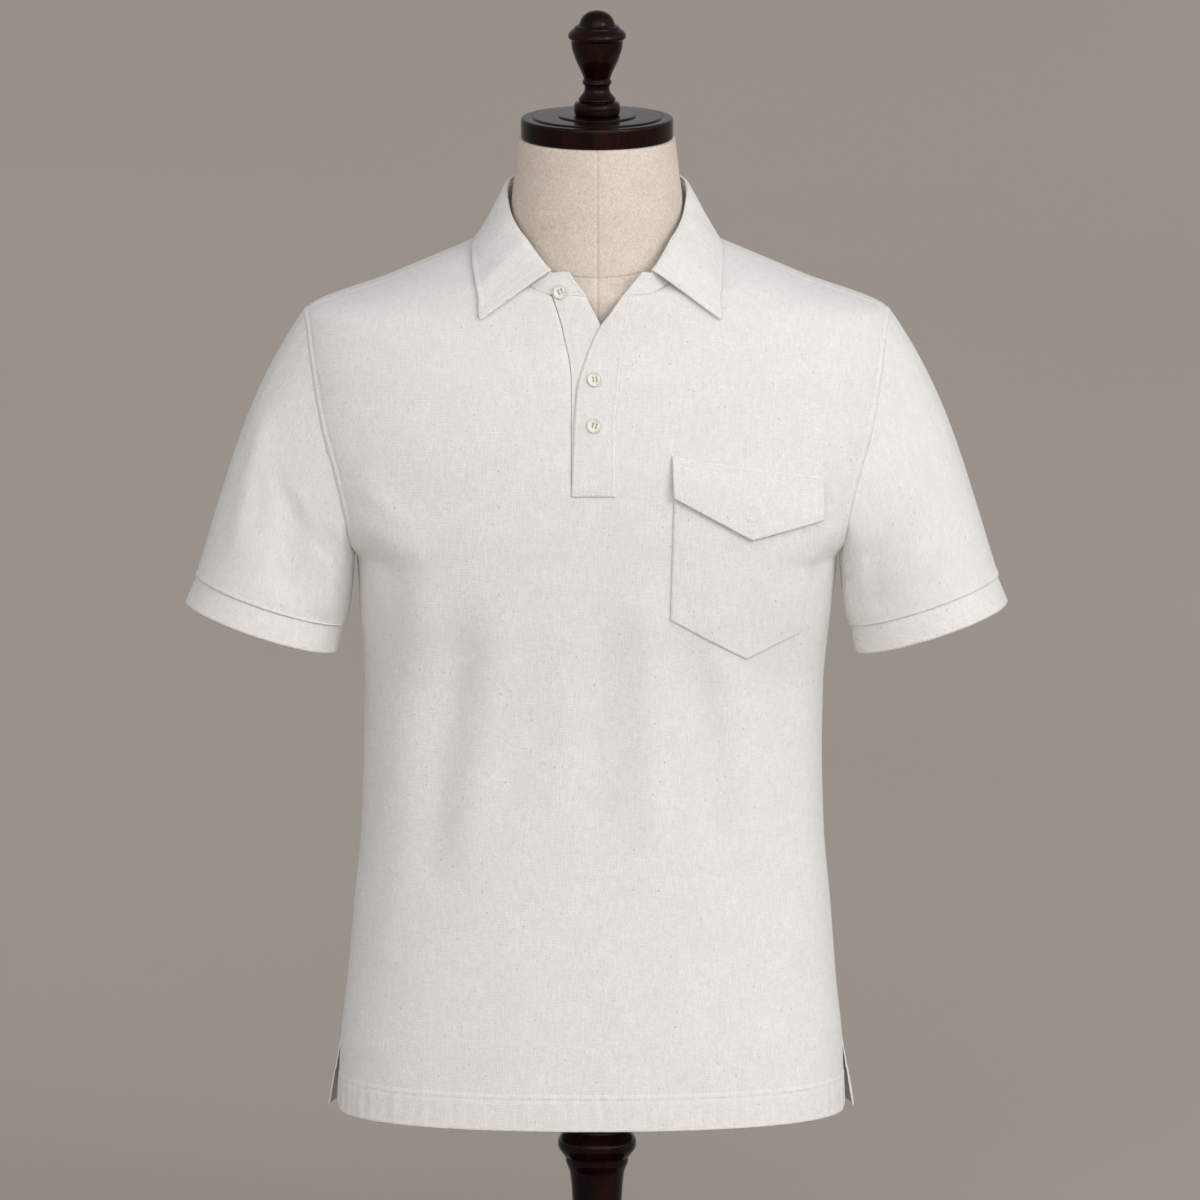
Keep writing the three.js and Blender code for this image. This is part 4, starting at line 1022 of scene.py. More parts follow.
def clear_of_shirt(p, distance):
    """Moves points out where they would come nearer to the shirt's middle layer than a distance."""
    s = body_section(p[..., 2])
    x, power = p[..., 0] - s["lean"], s["square"]
    depth = np.where(p[..., 1] < 0, s["front"], s["back"])
    share = (np.abs(x / s["half"]) ** power + np.abs(p[..., 1] / depth) ** power) ** (1 / power)
    radius = np.hypot(x, p[..., 1])
    least = radius / share + distance
    grow = np.maximum(1, least / radius)
    return np.stack([s["lean"] + x * grow, p[..., 1] * grow, p[..., 2]], -1)


def collar_cloth():
    turn, side = round_the_neck(FALL_END, FALL_END, COLLAR_COLUMNS)
    top = roll_point(turn, side)
    top[:, 2] += 4 * GAP + BAND / 2
    outward = unit(top * np.array([1, 1, 0]))
    angle = side * np.where(side < 0, FALL["right"](turn), FALL["left"](turn)) * DEG
    edge, _ = shirt(angle, FALL["z"](turn), FALL["lift"](turn))
    over = top + outward * ROLL_WIDTH
    over[:, 2] += ROLL_RISE
    down = mix(edge, top, 0.5) + outward * FALL_BULGE
    v = np.concatenate([[0, 0.012, 0.03, 0.055], np.linspace(0.09, 0.86, COLLAR_ROWS),
                        [0.88, 0.9, 0.918, 0.934, 0.948, 0.962, 0.976, 0.989, 1]])
    s = v[:, None, None]
    p = top * (1 - s) ** 3 + over * 3 * s * (1 - s) ** 2 + down * 3 * s ** 2 * (1 - s) + edge * s ** 3
    p = mix(p, clear_of_shirt(p, FALL_CLEAR), smooth(0.2, 0.34, s))
    n = grid_normals(p)
    if np.sum(n[len(v) // 2, 20] * outward[20]) < 0:
        n = -n
    across, along = lengths(p, 1), lengths(p, 0)
    t = np.stack([np.broadcast_to(across[-1:] - across[-1, -1] / 2, along.shape), -along], -1)
    soft = smooth(0.1, 0.5, v)[:, None] * (1 - smooth(0.9, 1, v))[:, None]
    wave = 0.7 * np.sin(t[..., 0] * 0.045 + 1.3) * np.sin(t[..., 0] * 0.021) * soft
    p = p + n * wave[..., None]
    free = ("last_row", "first_column", "last_column")
    paths = seams(p, n, [(which, 4.6, 0.35, 0.95, True) for which in free])
    cloth("collar_cloth", "collar", [(p, n, t)], BAND, ["front", "back", "collar_stand"], paths, bulge=0.42,
          lift=lambda q, u: 0.12 * np.sin(u[:, 0] * 1.1) * np.sin(u[:, 0] * 0.17))


# Plackets, pocket and flap
UPPER_OUT = CLOTH / 2 + GAP + BAND / 2
STRIP_STEPS = np.array([0, 0.5, 1.2, 2.2, 3.0, 3.6]) / 150


def strip_cloth(name, left_edge, right_edge, bottom, out, thick, columns, rows, rests_on, lines, **more):
    """A strip on the shirt between two edges given by height, up to the neckline."""
    v = np.concatenate([STRIP_STEPS, np.linspace(0.04, 1, rows)])
    level = mix(bottom, NECK_FRONT, v)
    left, right = left_edge(level), right_edge(level)
    w = np.concatenate([[0, 0.015, 0.035, 0.06], np.linspace(0.09, 0.91, columns), [0.94, 0.965, 0.985, 1]])
    x = mix(left[:, None], right[:, None], w)
    top = neck_z(angle_at_x(x, np.full_like(x, NECK_FRONT)))
    z = mix(bottom, top, v[:, None])
    p, n = shirt(angle_at_x(x, z), z, np.full_like(x, out))
    t = np.stack([x, z], -1)
    cloth(name + "_cloth", name, [(p, n, t)], thick, rests_on, seams(p, n, lines), **more)


def placket_under_cloth():
    strip_cloth("placket_under", lambda z: under_seam(z) + 2 * GAP, under_free, SLOT_BOTTOM + GAP, 0.0, CLOTH,
                16, 70, ["form_torso"], [("first_column", 3.0, 0.35, 0.9, True)], bulge=0.2)


BOX_HEIGHT = 709.5
BOX_FROM = -16
BOX_TO = 11


def placket_top_cloth():
    lines = [
        ("first_column", 3.2, 0.3, 0.9, True),
        ("last_column", 3.0, 0.35, 0.9, True),
        ("first_row", 2.2, 0.3, 0.9, True),
    ]
    strip_cloth("placket_top", upper_free, upper_seam, PLACKET_BOTTOM, UPPER_OUT, BAND, 26, 76,
                ["front", "placket_under"], lines, bulge=0.3,
                press=lambda q, u: np.where(u[:, 1] < 800, 0.42, 0.1))
    z = np.full(40, BOX_HEIGHT)
    box = shirt(angle_at_x(np.linspace(BOX_FROM, BOX_TO, 40), z), z, np.full(40, UPPER_OUT))
    stitches("placket_box_stitching", [Path(*box, 0.35)], BAND)


PATCH_STEPS = np.array([0, 0.006, 0.015, 0.026, 0.036, 0.044, 0.052, 0.064])


def patch_grid(outline, columns, rows, out):
    """A patch on the front between a top edge and a pointed bottom edge."""
    top_left, top_right, bottom_left, point, bottom_right = (np.array(c, float) for c in outline)
    share = (point[0] - bottom_left[0]) / (bottom_right[0] - bottom_left[0])
    before = int(round(columns * share))
    u = np.concatenate([PATCH_STEPS, np.linspace(0.08, share, before),
                        np.linspace(share, 0.92, columns - before)[1:], 1 - PATCH_STEPS[::-1]])
    v = np.concatenate([PATCH_STEPS, np.linspace(0.08, 0.92, rows), 1 - PATCH_STEPS[::-1]])
    low = np.where((u < share)[:, None], mix(bottom_left, point, (u / share)[:, None]),
                   mix(point, bottom_right, ((u - share) / (1 - share))[:, None]))
    high = mix(top_left, top_right, u[:, None])
    place = mix(high[None], low[None], v[:, None, None])
    x, z = place[..., 0], place[..., 1]
    p, n = shirt(angle_at_x(x, z), z, out(v)[:, None] + 0 * x)
    return p, n, place


# Corners across and up: the top edge, then the bottom edge with its point
POCKET = [(60, 698), (172.5, 676), (57, 596), (115.4, 562), (156.8, 579)]
FLAP = [(58.5, 725), (174.7, 705), (59.5, 693.5), (118.7, 659.5), (172.5, 671.5)]
FLAP_OUT = 2.2
FLAP_LIFT = 4.4
POCKET_OUT = CLOTH + 3 * GAP
BUTTON_MARK = (119.5, 680.0)


def pocket_cloth():
    p, n, t = patch_grid(POCKET, 66, 66, lambda v: np.full_like(v, POCKET_OUT))
    lines = [(which, 2.2, 0.3, 0.85, True) for which in ("first_column", "last_row", "last_column")]
    paths = seams(p, n, lines + [("first_row", 14, 0.25, 0.9, True)])
    cloth("pocket_cloth", "pocket", [(p, n, t)], CLOTH, ["front"], paths, bulge=0.3,
          press=lambda q, u: np.full(len(q), 0.6))


def button_mark(p, t):
    """The button under the flap shows through as a faint ring."""
    far = np.hypot(t[:, 0] - BUTTON_MARK[0], t[:, 1] - BUTTON_MARK[1])
    return 0.8 * np.exp(-(((far - 5.8) / 0.9) ** 2)) + 0.25 * (1 - smooth(4.5, 6.5, far))


def sewn_down(p, t):
    """Only the flap's upper edge is sewn down."""
    (left, top), (right, low) = FLAP[:2]
    edge = top - (t[:, 0] - left) * (top - low) / (right - left)
    return np.where(t[:, 1] > edge - 2, 0.6, 0.0)


def flap_cloth():
    p, n, t = patch_grid(FLAP, 60, 40, lambda v: FLAP_OUT + FLAP_LIFT * np.sin(v * math.pi / 2))
    paths = seams(p, n, [("first_column", 6.5, 0.35, 0.95, True), ("first_row", 6.0, 0.35, 0.95, True)])
    cloth("pocket_flap_cloth", "pocket_flap", [(p, n, t)], BAND, ["pocket", "front"], paths, bulge=0.42,
          lift=button_mark, press=sewn_down)


# The dress form and its wood
FORM = curves("z half front back", [
    (207, 170, 85, 88),
    (216, 177, 91, 94),
    (291, 176, 91, 94),
    (354, 171, 89, 90),
    (417, 166, 87, 84),
    (481, 164, 87, 80),
    (528, 165, 89, 80),
    (592, 170, 95, 88),
    (632, 173, 99, 96),
    (668, 179, 101, 100),
    (701, 186, 101, 103),
    (736, 195, 98.5, 104.5),
    (779, 206, 92, 103),
    (800, 207, 86, 98),
    (818, 207, 82, 90),
])
FORM_SHOULDER = 826.0
form_inset = Curve([FORM_SHOULDER, 847, 862, 880], [8, 4.8, 5.2, 7])
NECK_START = 840.0
neck_radius = Curve([NECK_START, 855, 862, 880, 905, 930, NECK_TOP], [70, 73, 72.5, 69.5, 67, 64, 60.8])
NECK_BLEND = 3.0


def form_point(angle, z):
    s = {name: curve(np.minimum(z, NECK_SIDE)) for name, curve in BODY.items()}
    inset = form_inset(z)
    low = z < FORM_SHOULDER
    section = {
        "half": np.where(low, FORM["half"](z), s["half"] - inset),
        "front": np.where(low, FORM["front"](z), s["front"] - inset),
        "back": np.where(low, FORM["back"](z), s["back"] - inset),
        "lean": 0.0,
        "square": np.where(low, 2.2, s["square"]),
    }
    p = section_point(section, angle, z)
    shoulders = np.hypot(p[..., 0], p[..., 1])
    neck = neck_radius(z)
    blend = (shoulders + neck + np.hypot(shoulders - neck, NECK_BLEND)) / 2
    radius = np.where(z > NECK_SIDE, neck, np.where(z >= NECK_START, blend, shoulders))
    grow = radius / shoulders
    return np.stack([p[..., 0] * grow, p[..., 1] * grow, z + 0 * p[..., 0]], -1)


def form_mesh():
    """The covered torso with the cover's seams sunk in, closed at its underside and neck top."""
    z = np.concatenate([[FORM_BOTTOM, 208.5, 211, 214, 218, 224, 232], np.linspace(242, 826, 84)[:-1],
                        np.linspace(826, 854, 16)[:-1], np.linspace(854, 874, 41)[:-1],
                        np.linspace(874, NECK_TOP, 43)])
    beside = np.array([0.005, 0.01, 0.015, 0.022, 0.03])
    angle = np.concatenate([np.linspace(0, 2 * math.pi, 181)[:-1], beside, 2 * math.pi - beside])
    a, h = np.meshgrid(np.sort(angle), z)
    p = form_point(a, h)
    n = grid_normals(np.concatenate([p, p[:, :1]], 1), ring=True)[:, :-1]
    if np.sum((n * p)[60, 0, :2]) < 0:
        n = -n
    x = p[..., 0]
    front = p[..., 1] < 0
    centre_seam = np.where(front, 1.1 * np.exp(-((x / 0.8) ** 2)), 0)
    base = 868.5 - 9.5 * (1 - (x / 62) ** 2)
    base_seam = np.where(front & (np.abs(x) < 64), 1.1 * np.exp(-(((h - base) / 0.7) ** 2)), 0)
    p = p - n * (centre_seam + base_seam)[..., None]
    inward = [np.array([share, share, 1]) for share in (0.75, 0.4, 0.12)]
    rings = np.concatenate([[p[0] * k for k in inward[::-1]], p, [p[-1] * k for k in inward]])
    obj = new_object("form_cover", *closed_rings(rings, FORM_BOTTOM, NECK_TOP), COVER)
    tied(obj, "form_torso")


def softened(profile, cut):
    """A profile with its corners rounded by cutting them again and again."""
    line = np.array(profile, float)
    for _ in range(3):
        out = [line[0]]
        for a, b in zip(line[:-1], line[1:]):
            length = np.linalg.norm(b - a)
            share = min(0.25, cut / max(length, 1e-9))
            out += [mix(a, b, share), mix(a, b, 1 - share)]
        out.append(line[-1])
        line = np.array(out)
        cut /= 2
    return line


def circle(radius, z, count, x=0.0, y=0.0):
    """Points of a level circle at a height z, round an upright line through x and y."""
    turn = 2 * math.pi * np.arange(count) / count
    return np.stack([x + radius * np.cos(turn), y + radius * np.sin(turn), np.full(count, z)], 1)


def lathe(profile, cut, segments, z=0.0):
    """Points and faces of a turned piece, from its profile of radius and height."""
    line = softened(profile, cut)
    rings = np.array([circle(radius, z + height, segments) for radius, height in line[1:-1]])
    return closed_rings(rings, z + line[0][1], z + line[-1][1])


def turned(name, node, profile, z, cut, segments=128):
    obj = new_object(name, *lathe(profile, cut, segments, z), WOOD)
    tied(obj, node)


# Turned profiles: radius and height
CAP = [
    (0, 0), (58.3, 0), (59.3, 0.9), (59.3, 15.2), (58.2, 16.3), (51.8, 16.3), (51.3, 15.8), (50.7, 16.1),
    (50.1, 17.3), (31.4, 17.3), (31, 16.9), (30.6, 17.2), (30, 18.4), (0, 18.4),
]
FINIAL = [
    (0, 0), (17, 0), (17.9, 1.2), (18, 7.4), (17.2, 9.2), (15.6, 10.1), (13.8, 10.4), (13.6, 11),
    (14.6, 11.5), (14.5, 12.6), (12.8, 14.6), (10.6, 17.2), (9.7, 19.6), (9.8, 22.6), (10.1, 23.4),
    (11.4, 24.2), (11.4, 26.4), (10.3, 27.4), (10.5, 29), (12.6, 34.2), (16.6, 42.6), (19.4, 50.6),
    (20.2, 56), (20.1, 58.4), (20.7, 58.9), (22.2, 60), (22.7, 62), (22, 64.4), (20.2, 66.2),
    (17.9, 67.6), (17.4, 69.4), (15.4, 70), (14.4, 70.6), (13.8, 71.8), (12.9, 74.6), (10.6, 78),
    (6.8, 80.6), (3, 81.6), (0, 81.8),
]
POST_HEIGHT = FORM_BOTTOM - GAP - (BASE_TOP + GAP)
POST = [
    (0, 0), (34, 0), (34, 4), (27, 9), (21, 16), (18.5, 28), (17.8, 50), (18.6, 74), (20, 100), (21.4, 112),
    (24.6, 119), (24.6, 123), (26, 124.5), (30.2, 130), (31, 135), (29, 140.5), (25.5, 143.8),
    (25.5, POST_HEIGHT), (0, POST_HEIGHT),
]
BASE = [
    (0, 0), (163, 0), (165, 2.5), (165, 9), (160, 13), (152, 15), (148, 19), (70, 23),
    (52, BASE_TOP), (0, BASE_TOP),
]

# Buttons
BUTTON_RADIUS = 6.0
BUTTON_THICK = 2.2
HOLE_RADIUS = 0.75
HOLE_PLACE = 1.35
HOLE_SIDES = 20
THREAD_RADIUS = 0.2
THREAD_STEPS = 7
THREAD_SIDES = 6


def placed(obj, p, turn):
    """Lays a small piece made round the origin at a point in millimetres."""
    obj.rotation_mode = "QUATERNION"
    obj.rotation_quaternion = turn
    obj.location = Vector(p) * MM
    bpy.context.view_layer.update()


def button_shell(name, thick):
    """A four-hole button with a raised rim."""
    r = BUTTON_RADIUS
    profile = [(0, 0), (r - 1.2, 0), (r, 0.5 * thick), (r - 0.3, 0.85 * thick), (r - 1, thick),
               (r - 1.8, 0.72 * thick), (0, 0.66 * thick)]
    disc = new_object(name + "_disc", *lathe(profile, 0.35, 72), SHELL)
    extras = [disc]
    for x in (-HOLE_PLACE, HOLE_PLACE):
        for y in (-HOLE_PLACE, HOLE_PLACE):
            ends = [circle(HOLE_RADIUS, z, HOLE_SIDES, x, y) for z in (-2 * thick, 3 * thick)]
            points = np.concatenate(ends)
            faces = grid_cells(2, HOLE_SIDES, 0, True).tolist()
            faces += [tuple(range(HOLE_SIDES - 1, -1, -1)), tuple(range(HOLE_SIDES, 2 * HOLE_SIDES))]
            hole = new_object(name + "_hole", points, faces, SHELL, smooth_faces=False)
            cut = disc.modifiers.new("hole", "BOOLEAN")
            cut.operation, cut.solver, cut.object = "DIFFERENCE", "EXACT", hole
            extras.append(hole)
    bpy.context.view_layer.update()
    mesh = bpy.data.meshes.new_from_object(disc.evaluated_get(bpy.context.evaluated_depsgraph_get()))
    mesh.name = name + "_shell"
    shell = bpy.data.objects.new(name + "_shell", mesh)
    bpy.context.scene.collection.objects.link(shell)
    for extra in extras:
        bpy.data.objects.remove(extra)
    mesh.set_sharp_from_angle(angle=40 * DEG)
    return shell


def button_thread(name, thick):
    """Two strands across each pair of holes."""
    points, faces = [], []
    for x in (-HOLE_PLACE, HOLE_PLACE):
        for strand in (-0.22, 0.22):
            start = len(points)
            for share in np.linspace(0, 1, THREAD_STEPS):
                y = (2 * share - 1) * (HOLE_PLACE + 0.2)
                z = 0.55 * thick + 0.62 * abs(math.sin(math.pi * share)) ** 0.6
                for across, up, _ in circle(THREAD_RADIUS, 0.0, THREAD_SIDES):
                    points.append((x + strand + across, y, z + up))
            faces += grid_cells(THREAD_STEPS, THREAD_SIDES, start, True).tolist()
            faces.append(tuple(range(start, start + THREAD_SIDES)))
            faces.append(tuple(range(len(points) - 1, len(points) - 1 - THREAD_SIDES, -1)))
    return new_object(name + "_thread", points, faces, BUTTON_THREAD)


def button(name, p, n, thick, spin):
    turn = Vector((0, 0, 1)).rotation_difference(Vector(n)) @ Quaternion((0, 0, 1), spin)
    shell = button_shell(name, thick)
    placed(shell, p, turn)
    tied(shell, name)
    if name != "pocket_button":
        thread = button_thread(name, thick)
        placed(thread, p, turn)
        tied(thread)


# Materials
def node_material(name):
    material = bpy.data.materials.new(name)
    material.use_nodes = True
    tree = material.node_tree
    return material, tree, tree.nodes["Principled BSDF"]


def add_node(tree, kind, **values):
    node = tree.nodes.new(kind)
    for key, value in values.items():
        setattr(node, key, value)
    return node


def set_inputs(node, **values):
    """Plain values of a node's inputs, whose names have underscores for spaces."""
    for key, value in values.items():
        node.inputs[key.replace("_", " ")].default_value = value


def linear(r, g, b):
    """Linear values of an sRGB colour given from 0 to 255."""
    out = []
    for c in (r, g, b):
        c /= 255
        out.append(c / 12.92 if c <= 0.04045 else ((c + 0.055) / 1.055) ** 2.4)
    return (*out, 1.0)


def darker(tone, r, g, b):
    return (tone[0] * r, tone[1] * g, tone[2] * b, 1.0)


def object_place(tree):
    return add_node(tree, "ShaderNodeTexCoord").outputs["Object"]


def scaled_place(tree, place, x, y, z=1.0):
    mapping = add_node(tree, "ShaderNodeMapping")
    set_inputs(mapping, Scale=(x, y, z))
    tree.links.new(place, mapping.inputs["Vector"])
    return mapping.outputs["Vector"]


def noise(tree, place, scale, detail, roughness=0.5, distortion=0.0):
    node = add_node(tree, "ShaderNodeTexNoise")
    set_inputs(node, Scale=scale, Detail=detail, Roughness=roughness, Distortion=distortion)
    tree.links.new(place, node.inputs["Vector"])
    return node.outputs["Fac"]


def ranged(tree, value, low, high, to_low, to_high, **kind):
    node = add_node(tree, "ShaderNodeMapRange", **kind)
    set_inputs(node, From_Min=low, From_Max=high, To_Min=to_low, To_Max=to_high)
    tree.links.new(value, node.inputs["Value"])
    return node.outputs["Result"]


def maths(tree, operation, *values):
    node = add_node(tree, "ShaderNodeMath", operation=operation)
    for k, v in enumerate(values):
        if isinstance(v, (int, float)):
            node.inputs[k].default_value = v
        else:
            tree.links.new(v, node.inputs[k])
    return node.outputs[0]


def total(tree, first, *others):
    for other in others:
        first = maths(tree, "ADD", first, other)
    return first


def colour_mix(tree, factor, a, b):
    node = add_node(tree, "ShaderNodeMix", data_type="RGBA")
    for name, v in (("Factor", factor), ("A", a), ("B", b)):
        socket = [s for s in node.inputs if s.name == name and s.enabled][0]
        if isinstance(v, tuple):
            socket.default_value = v
        else:
            tree.links.new(v, socket)
    return [s for s in node.outputs if s.enabled][0]


def mottled(tree, value, low, high, most, a, b):
    """Goes from a to b as a value goes from low to high."""
    return colour_mix(tree, ranged(tree, value, low, high, 0, most), a, b)


def bumped(tree, shader, height, strength, distance):
    bump = add_node(tree, "ShaderNodeBump")
    set_inputs(bump, Strength=strength, Distance=distance)
    tree.links.new(height, bump.inputs["Height"])
    tree.links.new(bump.outputs["Normal"], shader.inputs["Normal"])


def linen_material(name, tone):
    """Plain linen weave with long uneven threads, from the place on the cut cloth in metres."""
    material, tree, shader = node_material(name)
    place = add_node(tree, "ShaderNodeAttribute", attribute_name="flat").outputs["Vector"]
    long_threads = noise(tree, scaled_place(tree, place, 1300, 60), 1.0, 2, 0.6)
    fine_threads = noise(tree, scaled_place(tree, place, 2600, 260), 1.0, 1)
    cross_threads = noise(tree, scaled_place(tree, place, 90, 1500), 1.0, 1)
    grain = noise(tree, place, 620, 2, 0.6, 0.8)
    broad = noise(tree, place, 28, 3, 0.55)
    patches = noise(tree, scaled_place(tree, place, 210, 120), 1.0, 3, 0.6)
    streak = total(
        tree,
        ranged(tree, long_threads, 0.3, 0.72, -0.36, 0.36),
        ranged(tree, fine_threads, 0.3, 0.7, -0.26, 0.26),
        ranged(tree, cross_threads, 0.3, 0.7, -0.22, 0.22),
        ranged(tree, grain, 0.3, 0.7, -0.4, 0.4),
        ranged(tree, patches, 0.3, 0.7, -0.22, 0.22),
    )
    light = tuple(min(1.0, c * 1.06) for c in tone[:3]) + (1.0,)
    colour = mottled(tree, streak, -1, 1, 1, darker(tone, 0.81, 0.79, 0.76), light)
    colour = mottled(tree, broad, 0.35, 0.65, 0.3, colour, darker(tone, 0.86, 0.845, 0.82))
    flecks = add_node(tree, "ShaderNodeTexVoronoi")
    set_inputs(flecks, Scale=1.0)
    tree.links.new(scaled_place(tree, place, 210, 110), flecks.inputs["Vector"])
    chosen = add_node(tree, "ShaderNodeSeparateColor")
    tree.links.new(flecks.outputs["Color"], chosen.inputs["Color"])
    fleck = maths(tree, "MULTIPLY", maths(tree, "LESS_THAN", flecks.outputs["Distance"], 0.095),
                  maths(tree, "GREATER_THAN", chosen.outputs["Red"], 0.66))
    colour = colour_mix(tree, maths(tree, "MULTIPLY", fleck, 0.65), colour, darker(tone, 0.52, 0.46, 0.38))
    tree.links.new(colour, shader.inputs["Base Color"])
    threads = []
    for direction in "XY":
        wave = add_node(tree, "ShaderNodeTexWave", wave_type="BANDS", bands_direction=direction)
        set_inputs(wave, Scale=240, Distortion=3.5, Detail=1, Detail_Scale=0.4)
        tree.links.new(place, wave.inputs["Vector"])
        threads.append(maths(tree, "MULTIPLY", wave.outputs["Fac"], 0.35))
    nubs = noise(tree, scaled_place(tree, place, 640, 380), 1.0, 2, 0.6, 0.8)
    height = total(tree, *threads, maths(tree, "MULTIPLY", streak, 0.55), maths(tree, "MULTIPLY", nubs, 0.9))
    bumped(tree, shader, height, 0.7, 0.0003)
    set_inputs(shader, Roughness=0.92, Specular_IOR_Level=0.25, Sheen_Weight=0.22, Sheen_Roughness=0.5)
    return material


def thread_material(name, tone):
    material, tree, shader = node_material(name)
    mottle = noise(tree, object_place(tree), 900, 2)
    colour = mottled(tree, mottle, 0.3, 0.7, 1, tone, darker(tone, 0.9, 0.89, 0.87))
    tree.links.new(colour, shader.inputs["Base Color"])
    set_inputs(shader, Roughness=0.8)
    return material


def cover_material():
    """The dress form's canvas, finely mottled."""
    material, tree, shader = node_material("canvas_cover")
    place = object_place(tree)
    worm = noise(tree, place, 520, 3, 0.6, 1.2)
    broad = noise(tree, place, 45, 3)
    fine = noise(tree, place, 1700, 1)
    value = total(tree, ranged(tree, worm, 0.35, 0.65, 0, 0.6), ranged(tree, fine, 0.3, 0.7, 0, 0.4))
    colour = colour_mix(tree, value, linear(200, 187, 172), linear(237, 228, 218))
    colour = mottled(tree, broad, 0.35, 0.65, 0.25, colour, linear(202, 184, 166))
    tree.links.new(colour, shader.inputs["Base Color"])
    bumped(tree, shader, value, 0.45, 0.0003)
    set_inputs(shader, Roughness=0.93, Specular_IOR_Level=0.2)
    return material


def wood_material():
    """Dark wood with a satin polish, its grain along the post."""
    material, tree, shader = node_material("dark_polished_wood")
    place = object_place(tree)
    grain = noise(tree, scaled_place(tree, place, 60, 60, 9), 1.0, 4, 0.6, 0.8)
    pores = noise(tree, scaled_place(tree, place, 700, 700, 60), 1.0, 2)
    colour = mottled(tree, grain, 0.35, 0.65, 1, linear(10, 4, 2), linear(38, 13, 7))
    colour = mottled(tree, pores, 0.35, 0.65, 0.4, colour, linear(9, 4, 3))
    tree.links.new(colour, shader.inputs["Base Color"])
    tree.links.new(ranged(tree, grain, 0.3, 0.7, 0.13, 0.21), shader.inputs["Roughness"])
    set_inputs(shader, Specular_IOR_Level=0.11, Coat_Weight=0.05, Coat_Roughness=0.06)
    bumped(tree, shader, pores, 0.12, 0.0002)
    return material


def shell_material():
    material, tree, shader = node_material("button_shell")
    cloud = noise(tree, object_place(tree), 260, 3)
    colour = mottled(tree, cloud, 0.35, 0.65, 1, linear(240, 236, 228), linear(225, 218, 206))
    tree.links.new(colour, shader.inputs["Base Color"])
    set_inputs(shader, Roughness=0.28, Coat_Weight=0.35, Coat_Roughness=0.12)
    return material


def floor_material():
    material, tree, shader = node_material("floor")
    broad = noise(tree, object_place(tree), 0.6, 2)
    colour = mottled(tree, broad, 0.3, 0.7, 1, linear(188, 179, 171), linear(185, 176, 168))
    tree.links.new(colour, shader.inputs["Base Color"])
    set_inputs(shader, Roughness=0.95, Specular_IOR_Level=0.1)
    return material


LINEN = linen_material("linen", linear(243, 242, 242))
THREAD = thread_material("sewing_thread", linear(240, 238, 235))
BUTTON_THREAD = thread_material("button_thread", linear(196, 187, 174))
COVER = cover_material()
WOOD = wood_material()
SHELL = shell_material()
FLOOR = floor_material()

# Counts of the cloth grids
LOW_ROWS = 112
HIGH_ROWS = 66
PANEL_COLUMNS = 84
SLEEVE_COLUMNS = 190
SLEEVE_ROWS = 74
CUFF_COLUMNS = 190
STAND_COLUMNS = 90
COLLAR_COLUMNS = 150
COLLAR_ROWS = 34

# The pieces
front_panel()
back_panel()
for side in (-1, 1):
    sleeve_cloth(side)
    cuff_cloth(side)
collar_stand_cloth()
collar_cloth()
placket_under_cloth()
placket_top_cloth()
pocket_cloth()
flap_cloth()
form_mesh()
turned("neck_cap_wood", "neck_cap", CAP, NECK_TOP + GAP, 1.0)
turned("finial_wood", "finial", FINIAL, NECK_TOP + CAP_HEIGHT + 2 * GAP, 1.2)
turned("post_wood", "post", POST, BASE_TOP + GAP, 1.5)
turned("base_wood", "base", BASE, 0.0, 1.2, segments=160)
button("button_1", np.array([-28.2, -85, 850.6]), unit(np.array([-0.15, -0.95, 0.25])), BUTTON_THICK, 0.3)
for name, x, z, out, thick, spin in [
    ("button_2", -1.6, 784.0, UPPER_OUT + BAND / 2 + GAP, BUTTON_THICK, 0.1),
    ("button_3", -1.9, 749.0, UPPER_OUT + BAND / 2 + GAP, BUTTON_THICK, -0.25),
    ("pocket_button", 119.7, 675.0, POCKET_OUT + CLOTH / 2 + GAP, 1.7, 0.0),
]:
    at, up = shirt(angle_at_x(x, z), z, out)
    button(name, at, up, thick, spin)

# Floor, light and camera
FLOOR_RADIUS = 60000
FLOOR_CORNERS = 96
floor = new_object("floor", circle(FLOOR_RADIUS, -0.2, FLOOR_CORNERS), [tuple(range(FLOOR_CORNERS))], FLOOR)


def way_to(azimuth, elevation):
    """Away from the object: azimuth 0 is in front, 90 on the wearer's left."""
    a, e = azimuth * DEG, elevation * DEG
    return Vector((math.sin(a) * math.cos(e), -math.cos(a) * math.cos(e), math.sin(e)))


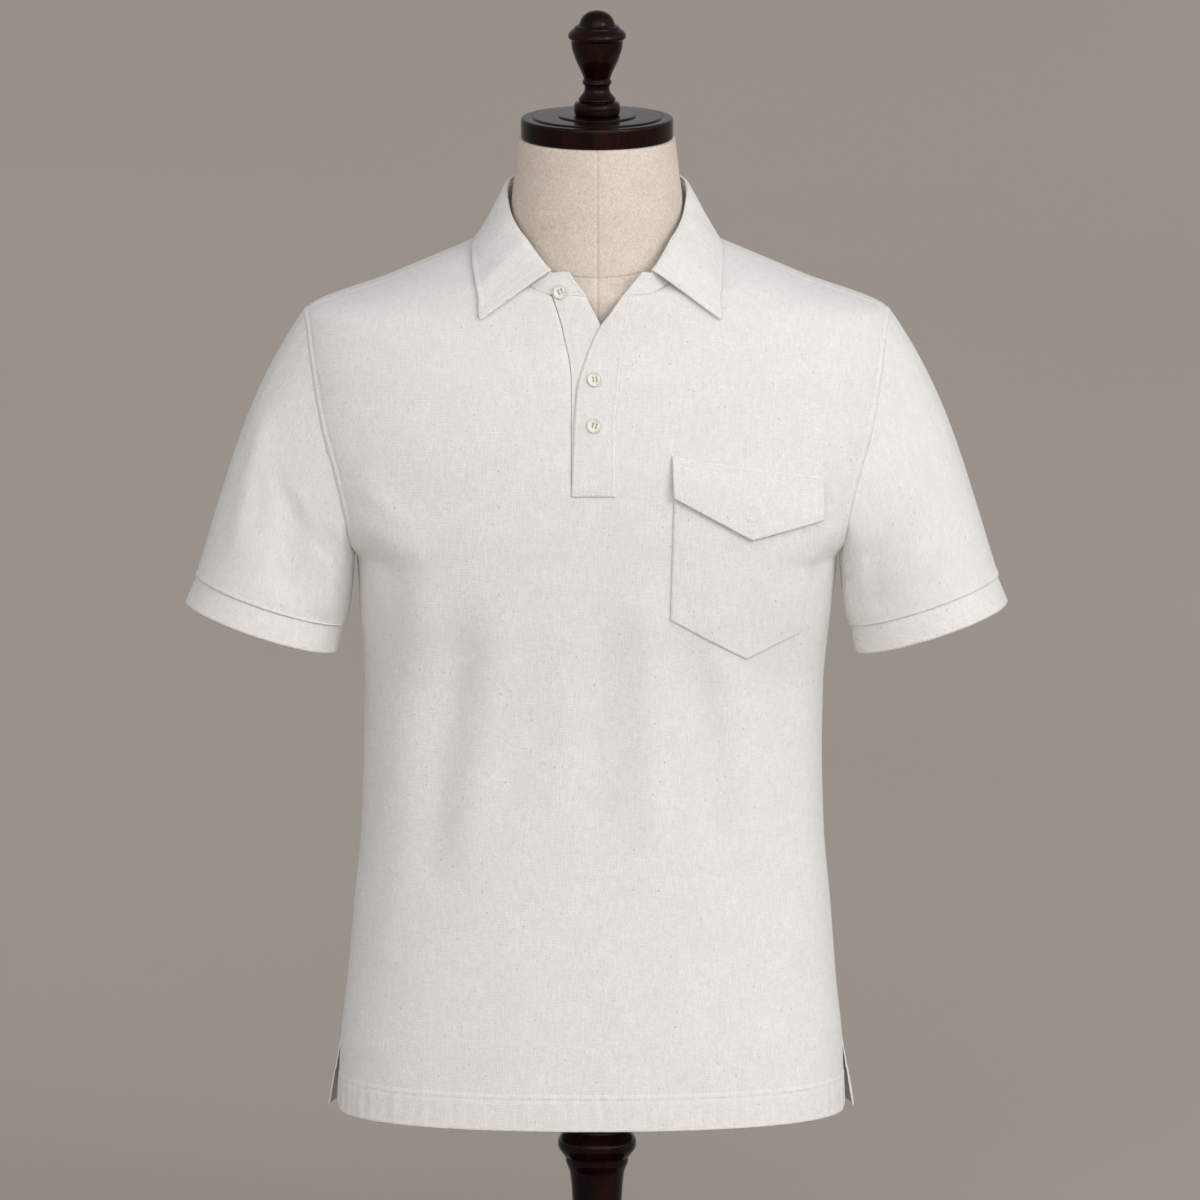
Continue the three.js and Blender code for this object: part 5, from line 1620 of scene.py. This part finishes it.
def facing(name, data, target, way, distance):
    """An object that looks at a target from a distance."""
    obj = bpy.data.objects.new(name, data)
    obj.location = target + way * distance
    obj.rotation_euler = (-way).to_track_quat("-Z", "Y").to_euler()
    bpy.context.scene.collection.objects.link(obj)
    return obj


key = bpy.data.lights.new("key", "AREA")
key.shape, key.size, key.energy, key.color = "DISK", 1.2, 20, (1.0, 0.99, 0.975)
facing("key", key, Vector((0, 0, 0.6)), way_to(44, 27), 4.4)

# The studio's soft light: an even room, darker above, with a broad bright side in front
ROOM_BRIGHTNESS = 0.468
ROOM_SIDES = [
    # azimuth, elevation, where the side starts, strength
    (0, 90, 0.0, -0.19),
    (60, 12, 0.5, 0.45),
    (35, 16, 0.3, 0.36),
    (14, 5, 0.5, 1.16),
    (-35, 22, 0.3, 0.2),
]
scene = bpy.context.scene
world = bpy.data.worlds.new("studio")
scene.world = world
world.use_nodes = True
room = world.node_tree
room_light = room.nodes["Background"]
set_inputs(room_light, Color=(1.0, 0.992, 0.985, 1))
looking = add_node(room, "ShaderNodeTexCoord").outputs["Generated"]
brightness = ROOM_BRIGHTNESS
for azimuth, elevation, start, strength in ROOM_SIDES:
    toward = add_node(room, "ShaderNodeVectorMath", operation="DOT_PRODUCT")
    toward.inputs[1].default_value = way_to(azimuth, elevation)
    room.links.new(looking, toward.inputs[0])
    side = ranged(room, toward.outputs["Value"], start, 1.0, 0.0, strength, interpolation_type="SMOOTHSTEP")
    brightness = maths(room, "ADD", side, brightness)
room.links.new(brightness, room_light.inputs["Strength"])

CAMERA_DISTANCE = 20.0
CAMERA_ELEVATION = 10.5
PICTURE_WIDTH = 0.936
AIM = Vector((0.0023, 0, 0.592))
camera = bpy.data.cameras.new("camera")
camera.sensor_width = 36
camera.lens = camera.sensor_width * CAMERA_DISTANCE / PICTURE_WIDTH
camera.clip_end = 300
scene.camera = facing("camera", camera, AIM, way_to(0, CAMERA_ELEVATION), CAMERA_DISTANCE)
scene.view_settings.view_transform = "Standard"
scene.view_settings.look = "None"
